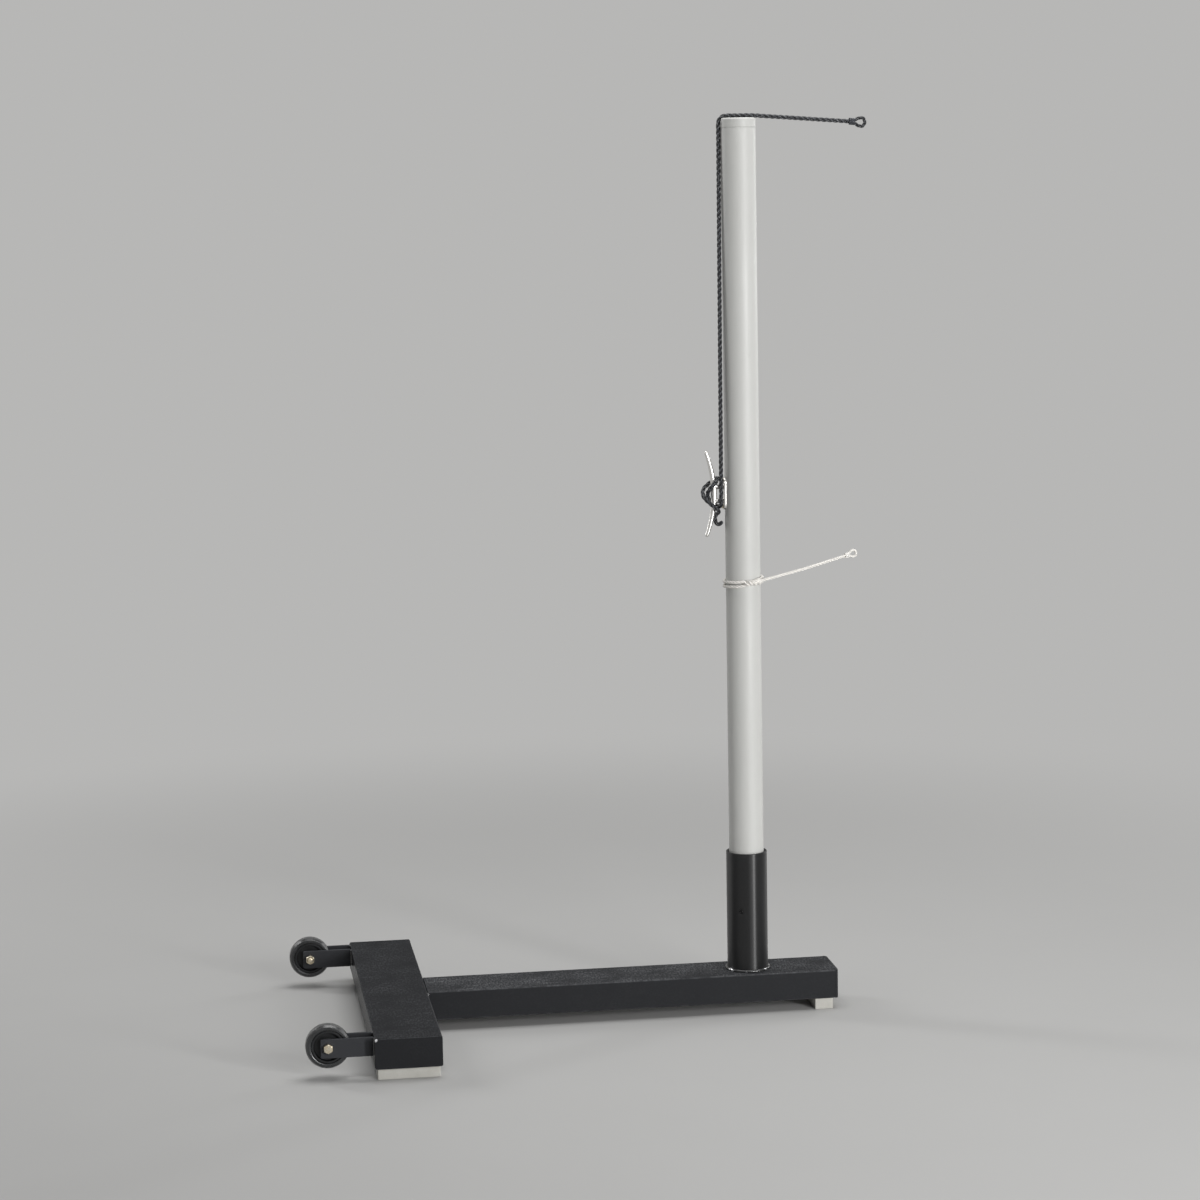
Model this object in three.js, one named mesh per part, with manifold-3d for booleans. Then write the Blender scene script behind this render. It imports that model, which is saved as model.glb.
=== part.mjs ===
// Portable badminton net post: a grey tubular post that stands in the socket of a weighted,
// T-shaped steel base with two transport wheels. A cast cleat holds the tension rope, and a
// light cord is tied round the post below it. Millimetres, +Z up.
// The origin is on the floor under the middle of the base, on the beam's centre line.
// +X runs along the beam, away from the wheels.
import * as THREE from 'three';
import { mergeVertices } from 'three/addons/utils/BufferGeometryUtils.js';
import Module from 'manifold-3d';

const wasm = await Module();
wasm.setup();

// Fits and cuts
const seatGap = 0.3;
const runningGap = 0.3;
const cutOverrun = 2;
const weldTolerance = 0.001;

// Crossbar and beam of the base
const sectionHeight = 50.8;
const sectionCornerRadius = 3;
const endPlateThickness = 4.8;
const crossbarWidth = 111;
const crossbarLength = 660;
const crossbarWall = 4.8;
const beamWidth = 101.6;
const beamLength = 722.3;
const beamWall = 4.8;
const beamEndCornerRadius = 6;

// Ballast bars inside the base
const ballastSideRoom = 2;
const ballastHeight = 34;
const crossbarBallastFromEnd = 50;
const crossbarBallastFromMiddle = 40;
const beamBallastFromCrossbar = 60;
const beamBallastFromEnd = 280;

// Pads under the base, and the screws that hold them
const padThickness = 19;
const padStripWidth = 32;
const crossbarPadLength = 103;
const crossbarPadFromEnd = 7.7;
const beamPadLength = 96;
const beamPadFromEnd = 9.5;
const padCornerRadius = 1.5;
const padScrewSpacing = 60;
const padScrewHeadRadius = 4.5;
const padScrewHeadHeight = 3;
const screwHeadTopShare = 0.7;
const padScrewShankRadius = 2.4;
const padScrewBite = 12;
const padRecessDepth = 9;
const padRecessRadius = 6;

// Wheels, their arms and axle bolts
const wheelRadius = 36.5;
const wheelWidth = 24;
const treadWidth = 13;
const tyreShoulderDrop = 3;
const tyreDepth = 9;
const wheelRimInset = 1.2;
const wheelRimDepth = 3.5;
const wheelWebThickness = 9;
const wheelHubRadius = 12;
const bushRadius = 6.35;
const axleRadius = 4.75;
const axleHeight = 55;
const axleFromCrossbar = 75;
const wheelFromCrossbarEnd = 34.7;
const armThickness = 4.8;
const armHeight = 31.75;
const armPastAxle = 12.5;
const armCornerRadius = 2.5;
const wheelSideRoom = 0.6;
const hexAcrossFlats = 14.3;
const boltHeadHeight = 6;
const lockNutHeight = 8;
const boltThreadShowing = 3;

// Socket for the post, and its lock screw
const postFromCrossbar = 570.3;
const socketRadius = 35.65;
const socketWall = 4;
const socketLength = 210.2;
const socketRimChamfer = 0.7;
const socketWeldLeg = 5;
const weldFaceShares = [0.6, 0.65];
const lockScrewRadius = 4;
const lockScrewLength = 5;
const lockScrewKeyAcross = 4;
const lockScrewKeyDepth = 2.5;
const lockScrewHeight = 107.4;
const lockScrewTurn = THREE.MathUtils.degToRad(-27.8);

// Post tube, its top cap and its foot plug
const postTop = 1550;
const postRadius = 30.15;
const postWall = 2.1;
const capHeight = 16;
const capEdgeRadius = 3;
const capSpigotLength = 24;
const capSpigotWall = 3;
const footFlange = 4;
const footSpigotLength = 26;
const footSpigotWall = 3;

// Cleat on the post
const cleatHeight = 911;
const cleatHornSpan = 148;
const cleatStandoff = 19.45;
const cleatHornRise = 13;
const cleatStemRadius = 5.1;
const cleatTipRadius = 3.2;
const cleatTaperPower = 1.5;
const cleatFlangeLength = 56.3;
const cleatFlangeWidth = 20;
const cleatFlangeThickness = 3;
const cleatLegInner = 8;
const cleatLegOuter = 16;
const cleatLegWidth = 8;
const cleatLegCornerRadius = 2.5;
const cleatScrewFromEnd = 4.9;
const cleatScrewHeadRadius = 3.8;
const cleatScrewHeadHeight = 2.4;
const cleatScrewRimShare = 0.4;
const cleatScrewShankRadius = 2.2;
const cleatScrewBite = 8;

// Tension rope and the light cord
const ropeRadius = 3.5;
const ropeBendRadius = 14;
const saddleWidth = 8.4;
const cordRadius = 2.5;

// Turns of the rope on the cleat: how far they stand from the cleat's own centre line
const firstTurnRadius = 8.9;
const firstCrossingRadius = 11.2;
const upperTurnRadius = 8.8;
const secondCrossingRadius = 19.4;
const lastTurnRadius = 10.6;
const firstTurnReach = 21.5;
const lastTurnReach = 32.5;

// The cord tied round the post: two turns, a knot and a taut run along +X
const cordTurnsHeight = 756.4;
const cordTurnsTilt = 3.3;
const cordTurnsSpreadAtKnot = 5.8;
const cordTurnsSpreadOpposite = 8.4;
const cordTurnsSpreadPower = 0.8;
const knotTurn = THREE.MathUtils.degToRad(35);
const knotHalfLength = 8;
const knotHalfDepth = 4.5;
const knotHalfHeight = 6.3;

// Sizes worked out from the ones above
const baseTop = padThickness + sectionHeight;
const sectionMiddle = padThickness + sectionHeight / 2;
const wheelLeft = -(axleFromCrossbar + wheelRadius + crossbarWidth + beamLength) / 2;
const crossbarLeft = wheelLeft + wheelRadius + axleFromCrossbar;
const crossbarRight = crossbarLeft + crossbarWidth;
const crossbarMiddle = crossbarLeft + crossbarWidth / 2;
const beamEnd = crossbarRight + beamLength;
const axleX = crossbarLeft - axleFromCrossbar;
const wheelY = crossbarLength / 2 - wheelFromCrossbarEnd;
const armInnerFace = wheelWidth / 2 + wheelSideRoom;
const armOuterFace = armInnerFace + armThickness;
const axleHoleRadius = axleRadius + runningGap;
const padScrewHoleRadius = padScrewShankRadius + runningGap;
const postX = crossbarRight + postFromCrossbar;
const postFoot = baseTop + seatGap;
const capJoint = postTop - capHeight;
const socketBore = socketRadius - socketWall;
const socketBottom = baseTop + seatGap;
const socketTop = baseTop + socketLength;
const cleatFlangeFace = postRadius + seatGap + cleatFlangeThickness;
const cleatHornHalf = cleatHornSpan / 2 - cleatTipRadius;
const cleatScrewOffset = cleatFlangeLength / 2 - cleatScrewFromEnd;
const cleatScrewHoleRadius = cleatScrewShankRadius + runningGap;

// Directions that outlines are drawn in and extruded along
const axisX = new THREE.Vector3(1, 0, 0);
const axisY = new THREE.Vector3(0, 1, 0);
const axisZ = new THREE.Vector3(0, 0, 1);
const towardsMinusY = new THREE.Matrix4().makeBasis(axisX, axisZ, axisY.clone().negate());
const towardsPlusX = new THREE.Matrix4().makeBasis(axisY, axisZ, axisX);
const upright = new THREE.Matrix4();

// Finishes, a new one for each piece
const finish = (color, roughness, metalness) => () =>
  new THREE.MeshStandardMaterial({ color, roughness, metalness });
const blackPaint = finish(0x26272a, 0.45, 0.3);
const greyPaint = finish(0xb8b9b5, 0.4, 0.2);
const paleRubber = finish(0xbebcb4, 0.85, 0);
const wheelRubber = finish(0x2c2e31, 0.6, 0);
const wheelPlastic = finish(0x232527, 0.5, 0);
const zincSteel = finish(0xd6ccb2, 0.3, 0.9);
const rawSteel = finish(0x6f6f70, 0.6, 0.8);
const castAluminium = finish(0xe2dfd8, 0.25, 0.9);
const darkScrew = finish(0x1c1d1f, 0.4, 0.7);
const blackPlastic = finish(0x202124, 0.6, 0);
const blackRope = finish(0x2c313b, 0.7, 0);
const whiteCord = finish(0xe9e3d6, 0.8, 0);

const part = new THREE.Group();

function addPiece(name, geometry, material, parent = part) {
  const mesh = new THREE.Mesh(geometry, material());
  mesh.name = name;
  parent.add(mesh);
  return mesh;
}

// A closed mesh as a solid that can be joined and cut
function toSolid(geometry) {
  const bare = geometry.clone();
  bare.deleteAttribute('normal');
  bare.deleteAttribute('uv');
  const merged = mergeVertices(bare, weldTolerance);
  return new wasm.Manifold(new wasm.Mesh({
    numProp: 3,
    vertProperties: merged.attributes.position.array,
    triVerts: Uint32Array.from(merged.index.array),
  }));
}

function toGeometry(solid) {
  const mesh = solid.getMesh();
  const geometry = new THREE.BufferGeometry();
  geometry.setAttribute('position', new THREE.BufferAttribute(mesh.vertProperties, 3));
  geometry.setIndex(new THREE.BufferAttribute(mesh.triVerts, 1));
  geometry.computeVertexNormals();
  return geometry;
}

// The first geometry, joined with and cut by the others
function carve(geometry, { joins = [], cuts = [] }) {
  let solid = toSolid(geometry);
  for (const piece of joins) {
    solid = solid.add(toSolid(piece));
  }
  for (const piece of cuts) {
    solid = solid.subtract(toSolid(piece));
  }
  return toGeometry(solid);
}

// An outline with four round corners, centred on the origin
function roundedRectangle(width, height, radius) {
  const outline = new THREE.Shape();
  const x = width / 2 - radius;
  const y = height / 2 - radius;
  outline.absarc(x, y, radius, 0, Math.PI / 2);
  outline.absarc(-x, y, radius, Math.PI / 2, Math.PI);
  outline.absarc(-x, -y, radius, Math.PI, 1.5 * Math.PI);
  outline.absarc(x, -y, radius, 1.5 * Math.PI, 2 * Math.PI);
  return outline;
}

// An outline made solid, laid the way that the directions above say
function extruded(outline, length, direction = upright, curveSegments = 3) {
  const geometry = new THREE.ExtrudeGeometry(outline, { depth: length, bevelEnabled: false, curveSegments });
  return geometry.applyMatrix4(direction);
}

// A profile of [radius, height] points turned about Z, its outside listed upwards
function turned(profile, segments = 40) {
  const points = profile.map(([radius, height]) => new THREE.Vector2(radius, height));
  if (profile[0][0] > 0) {
    points.push(points[0].clone());
  }
  return new THREE.LatheGeometry(points, segments).rotateX(Math.PI / 2);
}

// A plain round pin, from the first height up to the second
function pin(radius, bottom, top, segments = 12) {
  return turned([[0, bottom], [radius, bottom], [radius, top], [0, top]], segments);
}

// A six-sided block with the given width across its flats
function hexagon(acrossFlats, bottom, top) {
  const radius = acrossFlats / Math.sqrt(3);
  return turned([[0, bottom], [radius, bottom], [radius, top], [0, top]], 6);
}

// A closed tube through the given points, with a radius at each of them
function tubeThrough(points, radii, sides) {
  const positions = [];
  const indices = [];
  const count = points.length;
  const tangentAt = (i) => {
    const before = points[Math.max(i - 1, 0)];
    const after = points[Math.min(i + 1, count - 1)];
    return new THREE.Vector3().subVectors(after, before).normalize();
  };
  let side = new THREE.Vector3().crossVectors(tangentAt(0), axisX);
  if (side.length() < 0.5) {
    side = new THREE.Vector3().crossVectors(tangentAt(0), axisY);
  }
  for (let i = 0; i < count; i += 1) {
    const tangent = tangentAt(i);
    side = side.addScaledVector(tangent, -side.dot(tangent)).normalize();
    const other = new THREE.Vector3().crossVectors(tangent, side);
    for (let k = 0; k < sides; k += 1) {
      const turn = (2 * Math.PI * k) / sides;
      const point = points[i].clone();
      point.addScaledVector(side, radii[i] * Math.cos(turn));
      point.addScaledVector(other, radii[i] * Math.sin(turn));
      positions.push(...point);
    }
    side = side.clone();
  }
  for (let i = 0; i < count - 1; i += 1) {
    for (let k = 0; k < sides; k += 1) {
      const a = i * sides + k;
      const b = i * sides + ((k + 1) % sides);
      indices.push(a, b, b + sides, a, b + sides, a + sides);
    }
  }
  const first = positions.length / 3;
  positions.push(...points[0], ...points[count - 1]);
  const last = (count - 1) * sides;
  for (let k = 0; k < sides; k += 1) {
    const next = (k + 1) % sides;
    indices.push(first, next, k, first + 1, last + k, last + next);
  }
  const geometry = new THREE.BufferGeometry();
  geometry.setAttribute('position', new THREE.Float32BufferAttribute(positions, 3));
  geometry.setIndex(indices);
  geometry.computeVertexNormals();
  return geometry;
}

// A round section swept along a smooth curve through the given points
function sweptCord(points, radius, steps, sides = 8) {
  const section = new THREE.Shape();
  for (let k = 0; k < sides; k += 1) {
    const turn = (2 * Math.PI * k) / sides;
    const x = radius * Math.cos(turn);
    const y = radius * Math.sin(turn);
    if (k === 0) {
      section.moveTo(x, y);
    } else {
      section.lineTo(x, y);
    }
  }
  const extrudePath = new THREE.CatmullRomCurve3(points.map((point) => new THREE.Vector3(...point)));
  return new THREE.ExtrudeGeometry(section, { steps, bevelEnabled: false, extrudePath });
}

// Steel box section of the base: a tube and the flat plates that close its ends
function boxTube(width, wall, length, direction) {
  const outline = roundedRectangle(width, sectionHeight, sectionCornerRadius);
  outline.holes.push(roundedRectangle(width - 2 * wall, sectionHeight - 2 * wall, wall / 2));
  return extruded(outline, length, direction);
}

// Holes for the screws of one pad, on the line between them, through whatever is above the floor
function padScrewHoles(x, y, alongX) {
  return [-1, 1].map((side) => {
    const offset = (side * padScrewSpacing) / 2;
    const hole = pin(padScrewHoleRadius, -cutOverrun, padThickness + crossbarWall + cutOverrun);
    return hole.translate(alongX ? x + offset : x, alongX ? y : y + offset, 0);
  });
}

const crossbarPadY = crossbarLength / 2 - crossbarPadFromEnd - padStripWidth / 2;
const beamPadX = beamEnd - beamPadFromEnd - padStripWidth / 2;
const pads = [
  { name: 'front_pad', x: crossbarMiddle, y: -crossbarPadY, alongX: true, length: crossbarPadLength },
  { name: 'rear_pad', x: crossbarMiddle, y: crossbarPadY, alongX: true, length: crossbarPadLength },
  { name: 'beam_pad', x: beamPadX, y: 0, alongX: false, length: beamPadLength },
];

function addCrossbar() {
  const length = crossbarLength - 2 * (endPlateThickness + seatGap);
  const tube = boxTube(crossbarWidth, crossbarWall, length, towardsMinusY);
  tube.translate(crossbarMiddle, length / 2, sectionMiddle);
  const cuts = pads.filter((pad) => pad.alongX).flatMap((pad) => padScrewHoles(pad.x, pad.y, true));
  addPiece('crossbar_tube', carve(tube, { cuts }), blackPaint);
  const frontY = -crossbarLength / 2 + endPlateThickness;
  for (const [name, y] of [['crossbar_front_plate', frontY], ['crossbar_rear_plate', crossbarLength / 2]]) {
    const outline = roundedRectangle(crossbarWidth, sectionHeight, sectionCornerRadius);
    const plate = addPiece(name, extruded(outline, endPlateThickness, towardsMinusY), blackPaint);
    plate.position.set(crossbarMiddle, y, sectionMiddle);
  }
}

function addBeam() {
  const length = beamLength - endPlateThickness - 2 * seatGap;
  const tube = boxTube(beamWidth, beamWall, length, towardsPlusX);
  tube.translate(crossbarRight + seatGap, 0, sectionMiddle);
  const cuts = padScrewHoles(beamPadX, 0, false);
  addPiece('beam_tube', carve(tube, { cuts }), blackPaint);
  // The end plate's upright edges are ground round
  const side = beamWidth / 2 - beamEndCornerRadius;
  const outline = new THREE.Shape();
  outline.moveTo(-endPlateThickness, -beamWidth / 2);
  outline.absellipse(-endPlateThickness, -side, endPlateThickness, beamEndCornerRadius, -Math.PI / 2, 0);
  outline.absellipse(-endPlateThickness, side, endPlateThickness, beamEndCornerRadius, 0, Math.PI / 2);
  const plate = addPiece('beam_end_plate', extruded(outline, sectionHeight), blackPaint);
  plate.position.set(beamEnd, 0, padThickness);
}

function addBallast() {
  const width = crossbarWidth - 2 * (crossbarWall + ballastSideRoom);
  const floor = padThickness + seatGap + ballastHeight / 2;
  const length = crossbarLength / 2 - crossbarBallastFromEnd - crossbarBallastFromMiddle;
  const barY = crossbarBallastFromMiddle + length / 2;
  for (const [name, side] of [['front_ballast_bar', -1], ['rear_ballast_bar', 1]]) {
    const bar = new THREE.BoxGeometry(width, length, ballastHeight);
    addPiece(name, bar, rawSteel).position.set(crossbarMiddle, side * barY, floor + crossbarWall);
  }
  const beamBarWidth = beamWidth - 2 * (beamWall + ballastSideRoom);
  const beamBarLength = beamLength - beamBallastFromCrossbar - beamBallastFromEnd;
  const beamBar = new THREE.BoxGeometry(beamBarLength, beamBarWidth, ballastHeight);
  const x = crossbarRight + beamBallastFromCrossbar + beamBarLength / 2;
  addPiece('beam_ballast_bar', beamBar, rawSteel).position.set(x, 0, floor + beamWall);
}

function addPads() {
  for (const { name, x, y, alongX, length } of pads) {
    const size = alongX ? [length, padStripWidth] : [padStripWidth, length];
    const block = extruded(roundedRectangle(...size, padCornerRadius), padThickness - seatGap);
    block.translate(x, y, 0);
    const cuts = padScrewHoles(x, y, alongX);
    for (const [label, side] of [['left', -1], ['right', 1]]) {
      const offset = (side * padScrewSpacing) / 2;
      const place = [alongX ? x + offset : x, alongX ? y : y + offset, 0];
      cuts.push(pin(padRecessRadius, -cutOverrun, padRecessDepth).translate(...place));
      const seat = padRecessDepth - seatGap;
      const top = seat + padScrewBite + (padThickness - padRecessDepth);
      const screw = turned([
        [0, seat - padScrewHeadHeight],
        [padScrewHeadRadius * screwHeadTopShare, seat - padScrewHeadHeight],
        [padScrewHeadRadius, seat - padScrewHeadHeight / 2],
        [padScrewHeadRadius, seat],
        [padScrewShankRadius, seat],
        [padScrewShankRadius, top - padScrewShankRadius],
        [0, top],
      ], 16);
      addPiece(`${name}_${label}_screw`, screw, zincSteel).position.set(...place);
    }
    addPiece(name, carve(block, { cuts }), paleRubber);
  }
}

function addWheelArms(label, y) {
  const middle = baseTop - armHeight / 2;
  for (const [side, offset] of [['front', -armInnerFace], ['rear', armOuterFace]]) {
    const length = axleFromCrossbar + armPastAxle - seatGap;
    const outline = roundedRectangle(length, armHeight, armCornerRadius);
    const hole = new THREE.Path();
    hole.absarc(armPastAxle - length / 2, axleHeight - middle, axleHoleRadius, 0, 2 * Math.PI);
    outline.holes.push(hole);
    const plate = extruded(outline, armThickness, towardsMinusY, 6);
    const arm = addPiece(`${label}_wheel_${side}_arm`, plate, blackPaint);
    arm.position.set(axleX - armPastAxle + length / 2, y + offset, middle);
  }
}

// The axle runs along Y; its bolt head is on the outer side of the base
function addWheel(label, outward) {
  const wheel = new THREE.Group();
  wheel.position.set(axleX, outward * wheelY, axleHeight);
  wheel.rotation.x = (-outward * Math.PI) / 2;
  part.add(wheel);
  const rimRadius = wheelRadius - tyreDepth;
  const half = wheelWidth / 2;
  addPiece(`${label}_wheel_tyre`, turned([
    [rimRadius, wheelRimInset - half],
    [wheelRadius - tyreShoulderDrop, -half],
    [wheelRadius, -treadWidth / 2],
    [wheelRadius, treadWidth / 2],
    [wheelRadius - tyreShoulderDrop, half],
    [rimRadius, half - wheelRimInset],
  ]), wheelRubber, wheel);
  const rimInner = rimRadius - seatGap - wheelRimDepth;
  addPiece(`${label}_wheel_core`, turned([
    [bushRadius + runningGap, -half],
    [wheelHubRadius, -half],
    [wheelHubRadius, -wheelWebThickness / 2],
    [rimInner, -wheelWebThickness / 2],
    [rimInner, wheelRimInset - half],
    [rimRadius - seatGap, wheelRimInset - half],
    [rimRadius - seatGap, half - wheelRimInset],
    [rimInner, half - wheelRimInset],
    [rimInner, wheelWebThickness / 2],
    [wheelHubRadius, wheelWebThickness / 2],
    [wheelHubRadius, half],
    [bushRadius + runningGap, half],
  ]), wheelPlastic, wheel);
  const bushHalf = armInnerFace - seatGap;
  addPiece(`${label}_wheel_bush`, turned([
    [axleHoleRadius, -bushHalf],
    [bushRadius, -bushHalf],
    [bushRadius, bushHalf],
    [axleHoleRadius, bushHalf],
  ], 20), zincSteel, wheel);
  const headSeat = armOuterFace + seatGap;
  const nutEnd = headSeat + lockNutHeight;
  const shank = pin(axleRadius, -nutEnd - boltThreadShowing, headSeat + boltHeadHeight / 2);
  const head = hexagon(hexAcrossFlats, headSeat, headSeat + boltHeadHeight);
  addPiece(`${label}_axle_bolt`, carve(head, { joins: [shank] }), zincSteel, wheel);
  const nut = hexagon(hexAcrossFlats, -nutEnd, -headSeat);
  const thread = pin(axleHoleRadius, -nutEnd - cutOverrun, -headSeat + cutOverrun);
  addPiece(`${label}_lock_nut`, carve(nut, { cuts: [thread] }), zincSteel, wheel);
  addWheelArms(label, outward * wheelY);
}

// A radial hole or screw faces out through the socket wall at the lock screw's turn
function facingLockScrew(geometry) {
  return geometry.rotateX(Math.PI / 2).rotateZ(lockScrewTurn).translate(0, 0, baseTop + lockScrewHeight);
}

function addSocket() {
  const socket = new THREE.Group();
  socket.position.x = postX;
  part.add(socket);
  const tube = turned([
    [socketBore, socketBottom],
    [socketRadius, socketBottom],
    [socketRadius, socketTop - socketRimChamfer],
    [socketRadius - socketRimChamfer, socketTop],
    [socketBore + socketRimChamfer, socketTop],
    [socketBore, socketTop - socketRimChamfer],
  ]);
  const thread = facingLockScrew(pin(lockScrewRadius + runningGap, postRadius, socketRadius + cutOverrun));
  addPiece('post_socket', carve(tube, { cuts: [thread] }), blackPaint, socket);
  const bead = socketRadius + seatGap;
  addPiece('socket_weld_bead', turned([
    [bead, socketBottom],
    [bead + socketWeldLeg, socketBottom],
    [bead + socketWeldLeg * weldFaceShares[0], socketBottom + socketWeldLeg * weldFaceShares[1]],
    [bead, socketBottom + socketWeldLeg],
  ]), blackPaint, socket);
  const tip = postRadius + seatGap;
  const screw = pin(lockScrewRadius, tip, tip + lockScrewLength, 24);
  const outerEnd = tip + lockScrewLength;
  const key = hexagon(lockScrewKeyAcross, outerEnd - lockScrewKeyDepth, outerEnd + cutOverrun);
  addPiece('lock_screw', facingLockScrew(carve(screw, { cuts: [key] })), darkScrew, socket);
}

// A pin along -X that reaches from the first distance from the post's axis to the second
function cleatPin(radius, inner, outer, height) {
  return pin(radius, inner, outer).rotateY(-Math.PI / 2).translate(0, 0, height);
}

function addPostTube(post) {
  const tube = turned([
    [postRadius - postWall, postFoot + footFlange + seatGap],
    [postRadius, postFoot + footFlange + seatGap],
    [postRadius, capJoint - seatGap],
    [postRadius - postWall, capJoint - seatGap],
  ]);
  const cuts = [-1, 1].map((side) => {
    const height = cleatHeight + side * cleatScrewOffset;
    const inner = postRadius - postWall - cutOverrun;
    return cleatPin(cleatScrewHoleRadius, inner, postRadius + cutOverrun, height);
  });
  addPiece('post_tube', carve(tube, { cuts }), greyPaint, post);
}

// The cap is rounded down on both sides where the rope runs over it
function addPostCap(post) {
  const spigot = postRadius - postWall - seatGap;
  const edge = [];
  const steps = 3;
  for (let i = 0; i <= steps; i += 1) {
    const turn = (i / steps) * (Math.PI / 2);
    edge.push([
      postRadius - capEdgeRadius + capEdgeRadius * Math.cos(turn),
      postTop - capEdgeRadius + capEdgeRadius * Math.sin(turn),
    ]);
  }
  const cap = turned([
    [0, capJoint],
    [spigot - capSpigotWall, capJoint],
    [spigot - capSpigotWall, capJoint - capSpigotLength],
    [spigot, capJoint - capSpigotLength],
    [spigot, capJoint],
    [postRadius, capJoint],
    ...edge,
    [0, postTop],
  ]);
  const saddleRadius = ropeBendRadius - ropeRadius - seatGap;
  const cuts = [-1, 1].map((side) => {
    const reach = saddleRadius + cutOverrun;
    const corner = new THREE.BoxGeometry(reach, saddleWidth, reach);
    corner.translate((side * reach) / 2, 0, reach / 2);
    const roller = pin(saddleRadius, -saddleWidth, saddleWidth, 40).rotateX(Math.PI / 2);
    const waste = carve(corner, { cuts: [roller] });
    return waste.translate(side * (postRadius - saddleRadius), 0, postTop - saddleRadius);
  });
  addPiece('post_cap', carve(cap, { cuts }), greyPaint, post);
}

function addFootPlug(post) {
  const spigot = postRadius - postWall - seatGap;
  addPiece('post_foot_plug', turned([
    [0, postFoot],
    [postRadius, postFoot],
    [postRadius, postFoot + footFlange],
    [spigot, postFoot + footFlange],
    [spigot, postFoot + footFlange + footSpigotLength],
    [spigot - footSpigotWall, postFoot + footFlange + footSpigotLength],
    [spigot - footSpigotWall, postFoot + footFlange],
    [0, postFoot + footFlange],
  ]), blackPlastic, post);
}

// The cleat's centre line bows away from the post towards its two tips
function hornLine(rise) {
  return -(postRadius + cleatStandoff + cleatHornRise * (rise / cleatHornHalf) ** 2);
}

function addCleat(post) {
  const points = [];
  const radii = [];
  const steps = 20;
  for (let i = 0; i <= steps; i += 1) {
    const share = (2 * i) / steps - 1;
    const rise = share * cleatHornHalf;
    points.push(new THREE.Vector3(hornLine(rise), 0, rise));
    radii.push(cleatStemRadius + (cleatTipRadius - cleatStemRadius) * Math.abs(share) ** cleatTaperPower);
  }
  // Each tip ends in a small dome
  const domeShares = [[0.5, 0.85], [0.86, 0.5]];
  for (const end of [0, points.length - 1]) {
    const tip = points[end];
    const inner = points[end === 0 ? 1 : end - 1];
    const out = new THREE.Vector3().subVectors(tip, inner).normalize();
    const dome = domeShares.map(([along]) => tip.clone().addScaledVector(out, along * cleatTipRadius));
    const domeRadii = domeShares.map(([, across]) => across * cleatTipRadius);
    if (end === 0) {
      points.unshift(...dome.reverse());
      radii.unshift(...domeRadii.reverse());
    } else {
      points.push(...dome);
      radii.push(...domeRadii);
    }
  }
  const horns = tubeThrough(points, radii, 12);
  const flange = extruded(
    roundedRectangle(cleatFlangeWidth, cleatFlangeLength, cleatFlangeWidth / 2 - seatGap),
    cleatFlangeThickness + cleatFlangeWidth / 2,
    towardsPlusX,
  );
  flange.translate(-cleatFlangeFace, 0, 0);
  const legs = [-1, 1].map((side) => {
    const outline = roundedRectangle(cleatLegWidth, cleatLegOuter - cleatLegInner, cleatLegCornerRadius);
    const length = postRadius + cleatStandoff - cleatFlangeFace + cleatFlangeThickness / 2;
    const leg = extruded(outline, length, towardsPlusX);
    return leg.translate(-(postRadius + cleatStandoff), 0, (side * (cleatLegOuter + cleatLegInner)) / 2);
  });
  const tube = pin(postRadius + seatGap, -cleatFlangeLength, cleatFlangeLength, 96);
  const outer = cleatFlangeFace + cutOverrun;
  const holes = [-1, 1].map((side) =>
    cleatPin(cleatScrewHoleRadius, postRadius - cutOverrun, outer, side * cleatScrewOffset));
  const casting = carve(horns, { joins: [flange, ...legs], cuts: [tube, ...holes] });
  const cleat = addPiece('cleat', casting, castAluminium, post);
  cleat.position.z = cleatHeight;
  for (const [name, side] of [['cleat_upper_screw', 1], ['cleat_lower_screw', -1]]) {
    const seat = cleatFlangeFace + seatGap;
    const head = turned([
      [0, seat],
      [cleatScrewHeadRadius, seat],
      [cleatScrewHeadRadius, seat + cleatScrewHeadHeight * cleatScrewRimShare],
      [cleatScrewHeadRadius * screwHeadTopShare, seat + cleatScrewHeadHeight],
      [0, seat + cleatScrewHeadHeight],
    ], 16);
    const shank = pin(cleatScrewShankRadius, seat - cleatScrewBite, seat + cleatScrewHeadHeight / 2);
    const screw = carve(head, { joins: [shank] }).rotateY(-Math.PI / 2);
    addPiece(name, screw, zincSteel, post).position.z = cleatHeight + side * cleatScrewOffset;
  }
}

// Tension rope: straight up from the cleat to the cap
const ropeRise = [
  [-38.85, -11.09, 904],
  [-38.64, -10.62, 930],
  [-38.08, -9.34, 1000],
  [-37.27, -7.52, 1100],
  [-36.47, -5.69, 1200],
  [-35.66, -3.87, 1300],
  [-34.85, -2.04, 1400],
  [-34.21, -0.58, 1480],
  [-33.95, 0, 1512],
  [-33.95, 0, 1533],
];
// and over the cap, along +X
const ropeTop = [
  [-33.95, 0, 1533.5],
  [-33.95, 0, 1539.9],
  [-32.88, 0, 1545.26],
  [-29.85, 0, 1549.8],
  [-25.31, 0, 1552.83],
  [-19.95, 0, 1553.9],
  [-8, 0, 1553.9],
  [6, 0, 1553.9],
  [18, 0, 1553.9],
  [30, 0, 1553.4],
  [50, 0, 1551.9],
  [90, 0, 1548.9],
  [140, 0, 1545.1],
  [192, 0, 1541.2],
];

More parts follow.
